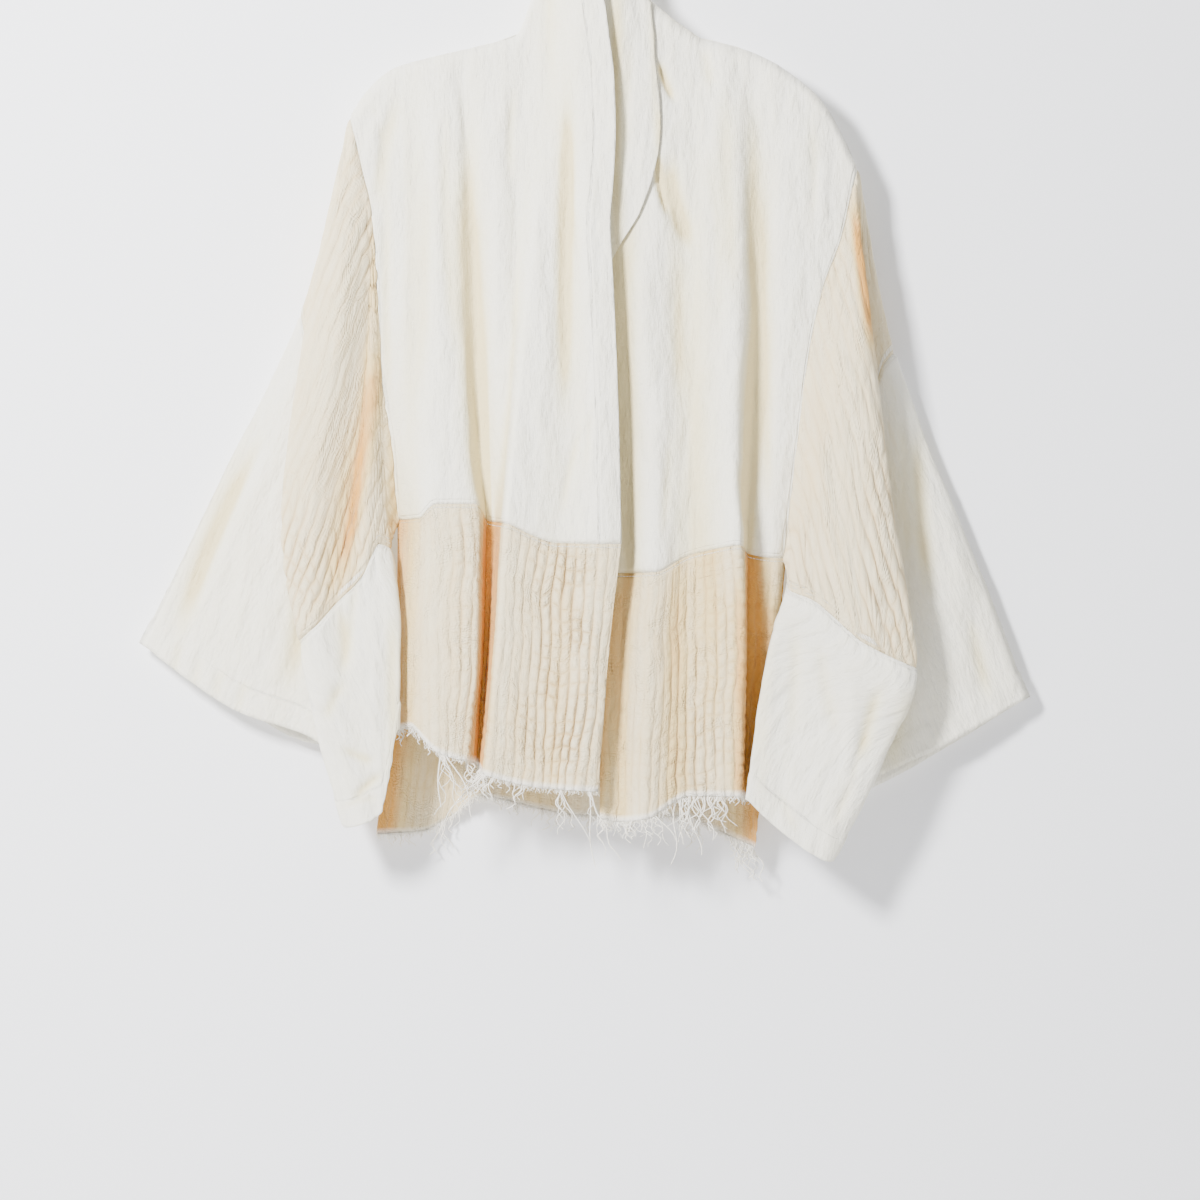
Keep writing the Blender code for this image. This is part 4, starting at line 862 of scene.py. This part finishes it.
class Graph:
    """Short ways to add and join nodes in a tree."""

    def __init__(self, tree):
        self.tree = tree
        self.nodes = tree.nodes

    def join(self, source, socket):
        if hasattr(source, "is_output"):
            self.tree.links.new(source, socket)
        else:
            socket.default_value = source

    def math(self, operation, *values, clamp=False):
        node = self.nodes.new("ShaderNodeMath")
        node.operation = operation
        node.use_clamp = clamp
        for value, socket in zip(values, node.inputs):
            self.join(value, socket)
        return node.outputs[0]

    times = functools.partialmethod(math, "MULTIPLY")
    plus = functools.partialmethod(math, "ADD")
    less = functools.partialmethod(math, "SUBTRACT")

    def noise(self, vector, scale, detail=2.0, roughness=0.5):
        node = self.nodes.new("ShaderNodeTexNoise")
        self.join(vector, node.inputs["Vector"])
        self.join(scale, node.inputs["Scale"])
        self.join(detail, node.inputs["Detail"])
        self.join(roughness, node.inputs["Roughness"])
        return node.outputs["Fac"]

    def combine(self, x, y, z=0.0):
        node = self.nodes.new("ShaderNodeCombineXYZ")
        for value, socket in zip((x, y, z), node.inputs):
            self.join(value, socket)
        return node.outputs[0]

    def split(self, vector):
        node = self.nodes.new("ShaderNodeSeparateXYZ")
        self.join(vector, node.inputs[0])
        return node.outputs[0], node.outputs[1]

    def mix(self, share, first, second):
        node = self.nodes.new("ShaderNodeMix")
        node.data_type = "RGBA"
        self.join(share, node.inputs["Factor"])
        self.join(first, node.inputs[6])
        self.join(second, node.inputs[7])
        return node.outputs[2]

    def ramp(self, value, low, high):
        """0 below low and 1 above high, eased between them."""
        node = self.nodes.new("ShaderNodeMapRange")
        node.interpolation_type = "SMOOTHSTEP"
        self.join(value, node.inputs["Value"])
        self.join(low, node.inputs["From Min"])
        self.join(high, node.inputs["From Max"])
        return node.outputs[0]

    def use(self, made, **values):
        node = self.nodes.new("ShaderNodeGroup")
        node.node_tree = made
        for label, value in values.items():
            self.join(value, node.inputs[label.replace("_", " ").capitalize()])
        return node.outputs


def weave_group():
    """Slubby plain weave: threads both ways with uneven thickness, and clouds of denser cloth."""
    made, graph, source, target = group("gauze_weave", ("Across", "Down"), ("Height", "Cloud"))
    across, down = source["Across"], source["Down"]
    wide = graph.combine(graph.times(across, 0.12), down)
    tall = graph.combine(across, graph.times(down, 0.12))
    weft = graph.noise(wide, 1300.0, 2.0, 0.6)
    warp = graph.noise(tall, 1300.0, 2.0, 0.6)
    slub = graph.noise(tall, 260.0, 3.0, 0.6)
    threads = graph.plus(graph.plus(weft, warp), graph.times(slub, 0.9))
    graph.join(threads, target["Height"])
    drawn = graph.combine(across, graph.times(down, 0.35))
    graph.join(graph.noise(drawn, 75.0, 3.0, 0.55), target["Cloud"])
    return made


def crinkle_group():
    """Grooves between the crinkle's ribs and the ties across them, and the fine cords of the gauze."""
    made, graph, source, target = group("gauze_crinkle", ("Across", "Down", "Strength"), ("Groove", "Cord"))
    across, down = source["Across"], source["Down"]

    def to_edge(distance, pitch, power):
        """0 in the middle of each pitch and 1 at its ends, raised to a power."""
        share = graph.math("FRACT", graph.math("DIVIDE", distance, pitch * MM))
        return graph.math("POWER", graph.math("ABSOLUTE", graph.less(graph.times(share, 2.0), 1.0)), power)

    spot = graph.combine(across, down)
    groove = to_edge(across, RIB_PITCH, 2.1)
    patch = graph.ramp(graph.noise(spot, 30.0), 0.3, 0.5)
    tied = graph.times(to_edge(down, TIE_PITCH, 2.3), graph.times(patch, 0.62))
    sunk = graph.times(graph.math("MAXIMUM", groove, tied), source["Strength"])
    drift = graph.times(graph.noise(spot, 90.0), 0.012)
    weft = graph.math("SINE", graph.times(graph.plus(down, drift), 2 * math.pi / 0.0027))
    warp = graph.math("SINE", graph.times(graph.plus(across, drift), 2 * math.pi / 0.0031))
    cord = graph.plus(graph.times(weft, 0.5), graph.times(warp, 0.5))
    patchy = graph.ramp(graph.noise(spot, 35.0), 0.35, 0.7)
    graph.join(sunk, target["Groove"])
    graph.join(graph.times(cord, patchy), target["Cord"])
    return made


def stitch_group():
    """A line of stitches: raised dashes of thread in a narrow groove."""
    made, graph, source, target = group("stitch_line", ("Distance", "Along"), ("Thread", "Groove"))
    step = graph.math("FRACT", graph.math("DIVIDE", source["Along"], 0.0032))
    dash = graph.ramp(graph.math("PINGPONG", step, 0.5), 0.06, 0.14)
    line = graph.less(1.0, graph.ramp(source["Distance"], 0.0003, 0.0006))
    graph.join(graph.times(line, dash), target["Thread"])
    graph.join(graph.less(1.0, graph.ramp(source["Distance"], 0.0005, 0.002)), target["Groove"])
    return made


def new_material(name, values):
    """A material, its graph and its Principled BSDF with the given values."""
    material = bpy.data.materials.new(name)
    material.use_nodes = True
    shader = material.node_tree.nodes["Principled BSDF"]
    for label, value in values.items():
        shader.inputs[label].default_value = value
    return material, Graph(material.node_tree), shader


def map_values(graph, label):
    """The two values of one of a piece's own maps."""
    node = graph.nodes.new("ShaderNodeUVMap")
    node.uv_map = label
    return graph.split(node.outputs[0])


def value_of(graph, label):
    """One of a piece's own attributes."""
    node = graph.nodes.new("ShaderNodeAttribute")
    node.attribute_name = label
    return node.outputs["Fac"]


def own_space(graph):
    """Points in the piece's own space."""
    return graph.nodes.new("ShaderNodeTexCoord").outputs["Object"]


def bump(graph, height, distance, strength, normal=None):
    node = graph.nodes.new("ShaderNodeBump")
    graph.join(height, node.inputs["Height"])
    graph.join(distance, node.inputs["Distance"])
    graph.join(strength, node.inputs["Strength"])
    if normal is not None:
        graph.join(normal, node.inputs["Normal"])
    return node.outputs[0]


def cloth_material(name, colours, groups, crinkled):
    """Gauze: its weave, crinkle and stitches as bumps, with painted shade in its folds and grooves."""
    lit, half, fold_shade_tone = colours
    material, graph, shader = new_material(name, {
        "Roughness": 0.92, "Sheen Weight": 0.12, "Sheen Roughness": 0.6, "Specular IOR Level": 0.2})
    weave, crinkle, stitch = groups
    across, down = map_values(graph, "pattern")
    distance, along = map_values(graph, "sewing")
    threads = graph.use(weave, across=across, down=down)
    sewn = graph.use(stitch, distance=distance, along=along)
    # Painted shade from the fold shade attribute, to which the groove shade and the cloth's own cloud and
    # slub tone are added
    warm = value_of(graph, "fold_shade")
    normal = bump(graph, threads["Height"], 0.0006, 0.9)
    if crinkled:
        ribs = graph.use(crinkle, across=across, down=down, strength=value_of(graph, "strength"))
        normal = bump(graph, graph.times(ribs["Groove"], -1.0), 0.0016, 0.7, normal)
        normal = bump(graph, ribs["Cord"], 0.0004, 0.9, normal)
        # Painted shade in the crinkle's grooves
        groove_shade = graph.math("MAXIMUM", ribs["Groove"], 0.0)
        warm = graph.plus(warm, graph.times(groove_shade, 0.25), clamp=True)
    cloud = graph.ramp(threads["Cloud"], 0.3, 0.7)
    normal = bump(graph, cloud, 0.0022, 0.6, normal)
    normal = bump(graph, graph.less(sewn["Thread"], sewn["Groove"]), 0.0008, 0.8, normal)
    warm = graph.plus(warm, graph.times(cloud, 0.1), clamp=True)
    slub = graph.times(graph.ramp(threads["Height"], 1.05, 1.85), 0.09)
    warm = graph.plus(warm, slub, clamp=True)
    # Mix from the lit tone through the painted half shade to the painted fold shade
    twice = graph.times(warm, 2.0)
    colour = graph.mix(graph.math("MINIMUM", twice, 1.0), (*lit, 1), (*half, 1))
    colour = graph.mix(graph.less(twice, 1.0, clamp=True), colour, (*fold_shade_tone, 1))
    if crinkled:
        # Painted groove shade, mixed towards the groove shade colour
        shade = graph.times(graph.math("POWER", groove_shade, 1.3), 0.8, clamp=True)
        colour = graph.mix(shade, colour, GROOVE_SHADE_COLOUR)
    colour = graph.mix(value_of(graph, "raw"), colour, THREAD_COLOUR)
    colour = graph.mix(graph.times(sewn["Thread"], 0.7), colour, THREAD_COLOUR)
    graph.join(colour, shader.inputs["Base Color"])
    graph.join(normal, shader.inputs["Normal"])
    return material


def thread_material():
    """Loose cotton threads."""
    material, graph, shader = new_material("loose_threads", {"Roughness": 0.95, "Specular IOR Level": 0.15})
    uneven_colour = graph.noise(own_space(graph), 400.0)
    graph.join(graph.mix(uneven_colour, THREAD_COLOUR, (0.80, 0.74, 0.62, 1)), shader.inputs["Base Color"])
    return material


def wood_material():
    """Satin wood with its grain along the bar."""
    material, graph, shader = new_material("bar_wood", {})
    mapping = graph.nodes.new("ShaderNodeMapping")
    mapping.inputs["Scale"].default_value = (6, 90, 90)
    graph.join(own_space(graph), mapping.inputs["Vector"])
    grain = graph.noise(mapping.outputs[0], 3.0, 6.0, 0.65)
    fine = graph.noise(mapping.outputs[0], 18.0, 3.0, 0.6)
    colour = graph.mix(graph.ramp(grain, 0.35, 0.65), (0.42, 0.25, 0.12, 1), (0.62, 0.42, 0.23, 1))
    graph.join(colour, shader.inputs["Base Color"])
    graph.join(graph.plus(0.36, graph.times(grain, 0.2)), shader.inputs["Roughness"])
    graph.join(bump(graph, fine, 0.0003, 0.5), shader.inputs["Normal"])
    return material


def steel_material():
    """Drawn steel wire with fine uneven marks in its roughness."""
    material, graph, shader = new_material("hook_wire", {"Base Color": (0.62, 0.62, 0.63, 1), "Metallic": 1})
    marks = graph.noise(own_space(graph), 900.0, 3.0, 0.7)
    graph.join(graph.plus(0.2, graph.times(marks, 0.2)), shader.inputs["Roughness"])
    return material


def dress_body(white, cream):
    """The fronts, back, collar, lapel and bands. Returns the shells by node."""
    shares = np.linspace(0, 1, PANEL_ROWS) ** 1.35
    left_front, left_back = (edge_points(LEFT_ARMHOLE, shares, column, True) for column in (2, 3))
    right_front, right_back = (edge_points(RIGHT_ARMHOLE, shares, column, True) for column in (2, 3))
    over_edges = {0: left_front, len(OVER_FRONT) - 1: edge_points(OVER_EDGE, shares)}
    over = panel_surface(OVER_FRONT, shares, over_edges, range(1, OVER_NECK_LINE + 1),
                         (LEFT_SHOULDER, 0, OVER_NECK_LINE))
    last = len(UNDER_FRONT) - 1
    under_edges = {0: edge_points(UNDER_EDGE, shares), last: right_front}
    under = panel_surface(UNDER_FRONT, shares, under_edges, range(UNDER_NECK_LINE, last),
                          (RIGHT_SHOULDER, UNDER_NECK_LINE, last))
    end = len(BACK) - 1
    on_hanger = [n for n in range(1, end) if n != BACK_NECK_LINE]
    back = panel_surface(BACK, shares, {0: left_back, end: right_back}, on_hanger, None)
    over_neck = line_columns(OVER_FRONT)[OVER_NECK_LINE] * PANEL_SPLIT
    under_neck = line_columns(UNDER_FRONT)[UNDER_NECK_LINE] * PANEL_SPLIT
    back_neck = line_columns(BACK)[list(BACK_NECK_LINES)] * PANEL_SPLIT
    follow_top(back, shares, slice(0, back_neck[0] + 1), over[0, : over_neck + 1])
    follow_top(back, shares, slice(back_neck[1], None), under[0, under_neck:])

    steps = np.linspace(0, 1, BAND_ROWS)
    side_ends = (OVER_FRONT[0][7][1], UNDER_FRONT[-1][7][1])
    tail = 1 + np.linspace(0, 1, BAND_ROWS // 5)[1:]
    over_columns, over_ribs = rib_columns(OVER_FRONT, over[-1], -1)
    under_columns, under_ribs = rib_columns(UNDER_FRONT, under[-1], 1)
    back_columns, back_ribs = rib_columns(BACK, back[-1], 1)
    over_band = band_surface(OVER_FRONT, over[-1], over_columns, steps)
    under_band = band_surface(UNDER_FRONT, under[-1], under_columns, steps)
    back_band = band_surface(BACK, back[-1], back_columns, np.concatenate([steps, tail]), side_ends)

    over_side = over[0, over_neck : over_neck + OVER_FRONT[OVER_NECK_LINE][0] * PANEL_SPLIT + 1]
    under_start = under_neck - UNDER_FRONT[UNDER_NECK_LINE - 1][0] * PANEL_SPLIT
    under_side = under[0, under_start : under_neck + 1][::-1]
    collar = collar_surface(back[0, back_neck[0] : back_neck[1] + 1], over_side, under_side)

    lapel = lapel_surface(under, shares)

    shells = {}
    for node, grid, sign, seams, stitches, unevenness, seed, creased, shade_streaks, puckers in (
        ("over_front_panel", over, -1, ("bottom", "left"),
         [("left", ARMHOLE_STITCH), ("bottom", SEAM_STITCH), ("right", FACING_STITCH)],
         1.5, 3, OVER_PANEL_CREASES, OVER_PANEL_SHADE, [("left", 0.5, 12, 9, 11), ("bottom", 0.6, 9, 7, 12)]),
        ("under_front_panel", under, -1, ("bottom", "right"),
         [("right", ARMHOLE_STITCH), ("bottom", SEAM_STITCH)],
         1.5, 13, UNDER_PANEL_CREASES, UNDER_PANEL_SHADE,
         [("right", 0.5, 12, 9, 21), ("bottom", 0.6, 9, 7, 22)]),
        ("back_panel", back, 1, ("bottom", "left", "right"),
         [("left", ARMHOLE_STITCH), ("right", ARMHOLE_STITCH), ("bottom", SEAM_STITCH)],
         1.5, 23, BACK_PANEL_CREASES, (), [("bottom", 0.6, 9, 7, 24)]),
        ("collar", collar, 1, ("bottom",), [("bottom", SEAM_STITCH), ("top", SEAM_STITCH)],
         0.4, 33, (), (), ()),
        ("under_lapel", lapel, -1, (), (), 0.9, 37, LAPEL_CREASES, LAPEL_SHADE, ()),
    ):
        piece = shells[node] = Shell(node + "_cloth", grid, sign, seams, stitches)
        piece.rumple(unevenness, seed)
        piece.crease(creased)
        piece.warm(shade_streaks)
        for gathers in puckers:
            piece.pucker(*gathers)
    for node, grid, sign, ribs, seams, zones, shade_streaks, seed in (
        ("over_front_band", over_band, -1, over_ribs, ("top", "left"), OVER_BAND_ZONES, OVER_BAND_SHADE, 41),
        ("under_front_band", under_band, -1, under_ribs, ("top", "right"), UNDER_BAND_ZONES,
         UNDER_BAND_SHADE, 51),
        ("back_band", back_band, 1, back_ribs, ("top",), BACK_BAND_ZONES, BACK_BAND_SHADE, 61),
    ):
        piece = shells[node] = Shell(node + "_cloth", grid, sign, seams, [("top", SEAM_STITCH)])
        crinkle_cloth(piece, np.broadcast_to(ribs, piece.across.shape), zones, seed)
        piece.warm(shade_streaks)
    for node, piece in shells.items():
        finish_cloth(piece.build(cream if "band" in node else white), node)
    return shells


def crinkle_cloth(piece, ribs, zones, seed):
    """Ribs that wander a little and are stronger in some stretches than in others."""
    wander = uneven(ribs, piece.down, 14, 12, seed) * 1.1 + uneven(ribs, piece.down, 70, 50, seed + 1) * 2.6
    ties = piece.down * (0.45 if piece.closed else 1) + 5 * uneven(ribs, piece.down, 11, 45, seed + 2)
    patchy = 1 + 0.4 * uneven(ribs, piece.down, 10, 26, seed + 3)
    patchy += 0.25 * uneven(ribs, piece.down, 45, 90, seed + 5)
    strength = rib_strength(piece.opened, zones) * patchy
    fade = 1.0
    for side in piece.seams:
        fade = fade * ease(piece.from_side[side] / 12)
    piece.pattern = (ribs + wander, ties)
    piece.strength = strength
    if "bottom" not in piece.seams:
        piece.raw = 0.85 * ease(1.5 - piece.from_side["bottom"] / 3.5)
    piece.add(piece.trimmed(rib_heights(ribs + wander, ties) * strength * fade))
    piece.rumple(0.7, seed + 4)


def dress_sleeve(side, front, back, seam, sign, ribs, zones, upper_shade_streaks, creased, lower_shade_streaks, seed,
                 white, cream):
    """The cream upper sleeve and the white lower one with its stitched cuff hem."""
    rings = sleeve_rings(front, back, seam)

    def part(name, cells, stations, seams, stitches):
        """One part of the sleeve, with the stations and the places round it of its grid."""
        at = np.linspace(*stations, cells[1])
        around = even_places(rings, at, cells[0])
        return Shell(name, rings(at, around), sign, seams, stitches, closed=True), at, around

    upper, at, around = part(side + "_sleeve_upper_cloth", UPPER_SLEEVE_CELLS, (0, SLEEVE_SEAM_STATION),
                             ("top", "bottom"), [("top", 2), ("bottom", 4), ("bottom", 8)])
    direction, line = ribs
    line = np.interp(front[line][0], FRONT_ROWS, np.arange(len(FRONT_ROWS)))
    crinkle_cloth(upper, sleeve_rib_distance(rings, at, around, direction, line), zones, seed)
    upper.warm(upper_shade_streaks)
    upper.pucker("top", 1.5, 16, 8, seed + 6)
    finish_cloth(upper.build(cream), side + "_sleeve_upper")

    lower, _, _ = part(side + "_sleeve_lower_cloth", LOWER_SLEEVE_CELLS, (SLEEVE_SEAM_STATION, CUFF_STATION),
                       ("top",), [("top", SEAM_STITCH), ("bottom", CUFF_HEM)])
    lower.rumple(2.7, seed + 7)
    lower.crease(creased)
    lower.warm(lower_shade_streaks)
    lower.pucker("top", 0.8, 12, 8, seed + 8)
    hem = lower.trimmed(ease((CUFF_HEM - lower.from_side["bottom"]) / 2.5))
    lower.add(1.1 * hem)
    lower.pucker("bottom", 1.1, CUFF_HEM * 1.1, 7, seed + 9)
    finish_cloth(lower.build(white), side + "_sleeve_lower")


def finish_cloth(piece, node):
    """Put a piece of cloth in place of its solid."""
    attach(piece, "root")
    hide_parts(node)
    "cream_crinkle_gauze" if "band" in node or "upper" in node else "white_gauze"


def stage_set():
    """The pale wall behind, which can't be seen from behind, and a floor far below."""
    wall_material, graph, shader = new_material("plain_wall", {
        "Base Color": (0.85, 0.855, 0.885, 1), "Roughness": 0.95, "Specular IOR Level": 0.1})
    facing = graph.nodes.new("ShaderNodeNewGeometry")
    path = graph.nodes.new("ShaderNodeLightPath")
    clear = graph.nodes.new("ShaderNodeBsdfTransparent")
    either = graph.nodes.new("ShaderNodeMixShader")
    open_way = graph.math("MAXIMUM", facing.outputs["Backfacing"], path.outputs["Is Shadow Ray"])
    graph.join(open_way, either.inputs[0])
    graph.join(shader.outputs[0], either.inputs[1])
    graph.join(clear.outputs[0], either.inputs[2])
    graph.join(either.outputs[0], graph.nodes["Material Output"].inputs["Surface"])
    floor_material = new_material("plain_floor", {"Base Color": (0.8, 0.79, 0.77, 1), "Roughness": 0.8})[0]
    wall = flat_sheet("wall", [(-ROOM_HALF, FLOOR_DROP, WALL_DEPTH), (ROOM_HALF, FLOOR_DROP, WALL_DEPTH),
                               (ROOM_HALF, WALL_TOP_DROP, WALL_DEPTH),
                               (-ROOM_HALF, WALL_TOP_DROP, WALL_DEPTH)], wall_material)
    floor = flat_sheet("floor", [(-ROOM_HALF, FLOOR_DROP, -ROOM_HALF), (ROOM_HALF, FLOOR_DROP, -ROOM_HALF),
                                 (ROOM_HALF, FLOOR_DROP, ROOM_HALF), (-ROOM_HALF, FLOOR_DROP, ROOM_HALF)],
                       floor_material)


def flat_sheet(name, corners, material):
    """One flat face between four corners."""
    mesh = bpy.data.meshes.new(name)
    mesh.from_pydata(place(corners).tolist(), [], [(0, 1, 2, 3)])
    return put(name, mesh, material)


def lights_and_camera():
    """A tall soft light from the left, one behind for views of the back, a pale surround; a long lens."""
    for name, spot, aim, wide, tall, power in (
        ("key_light", (-1150, -420, -1880), (0, 480, 0), 340, 480, 187),
        ("back_light", (-1500, -600, 2600), (0, 500, 0), 1500, 1500, 160),
    ):
        lamp = bpy.data.lights.new(name, "AREA")
        lamp.shape = "RECTANGLE"
        lamp.size = wide * MM
        lamp.size_y = tall * MM
        lamp.energy = power
        light = bpy.data.objects.new(name, lamp)
        light.location = place(spot)
        back_from_aim = light.location - type(light.location)(place(aim))
        light.rotation_euler = back_from_aim.to_track_quat("Z", "Y").to_euler()
        bpy.context.scene.collection.objects.link(light)
    world = bpy.data.worlds.new("surround")
    world.use_nodes = True
    world.node_tree.nodes["Background"].inputs["Color"].default_value = (0.95, 0.97, 1.0, 1)
    world.node_tree.nodes["Background"].inputs["Strength"].default_value = 0.78
    bpy.context.scene.world = world
    lens = bpy.data.cameras.new("camera")
    lens.sensor_width = 36
    lens.lens = lens.sensor_width * CAMERA_DISTANCE / PICTURE_WIDTH
    lens.clip_end = 30
    camera = bpy.data.objects.new("camera", lens)
    camera.location = place((*PICTURE_MIDDLE, FRONTS_DEPTH - CAMERA_DISTANCE))
    camera.rotation_euler = (math.pi / 2, 0, 0)
    bpy.context.scene.collection.objects.link(camera)
    bpy.context.scene.camera = camera


def main():
    groups = (weave_group(), crinkle_group(), stitch_group())
    white = cloth_material("white_double_gauze", WHITE, groups, False)
    cream = cloth_material("cream_crinkle_gauze_cloth", CREAM, groups, True)
    threads = thread_material()
    shells = dress_body(white, cream)
    for sleeve in (
        ("left", LEFT_SLEEVE_FRONT, LEFT_SLEEVE_BACK, LEFT_ARMHOLE, -1, LEFT_SLEEVE_RIBS, LEFT_SLEEVE_ZONES,
         LEFT_SLEEVE_SHADE, LEFT_CUFF_CREASES, LEFT_CUFF_SHADE, 71),
        ("right", RIGHT_SLEEVE_FRONT, RIGHT_SLEEVE_BACK, RIGHT_ARMHOLE, 1, RIGHT_SLEEVE_RIBS,
         RIGHT_SLEEVE_ZONES, RIGHT_SLEEVE_SHADE, RIGHT_CUFF_CREASES, RIGHT_CUFF_SHADE, 91),
    ):
        dress_sleeve(*sleeve, white, cream)
    for name, band, frays, seed in (
        ("over", "over_front_band", OVER_FRAYS, 5),
        ("under", "under_front_band", UNDER_FRAYS, 6),
        ("back", "back_band", BACK_FRAYS, 7),
    ):
        hem = frayed_hem(name + "_loose_threads", shells[band], frays, seed, threads)
        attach(hem, "root")
        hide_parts(name + "_fringe")
    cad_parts["hanger_bar"].material_slots[0].material = wood_material()
    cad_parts["hanger_hook"].material_slots[0].material = steel_material()
    stage_set()
    lights_and_camera()


main()
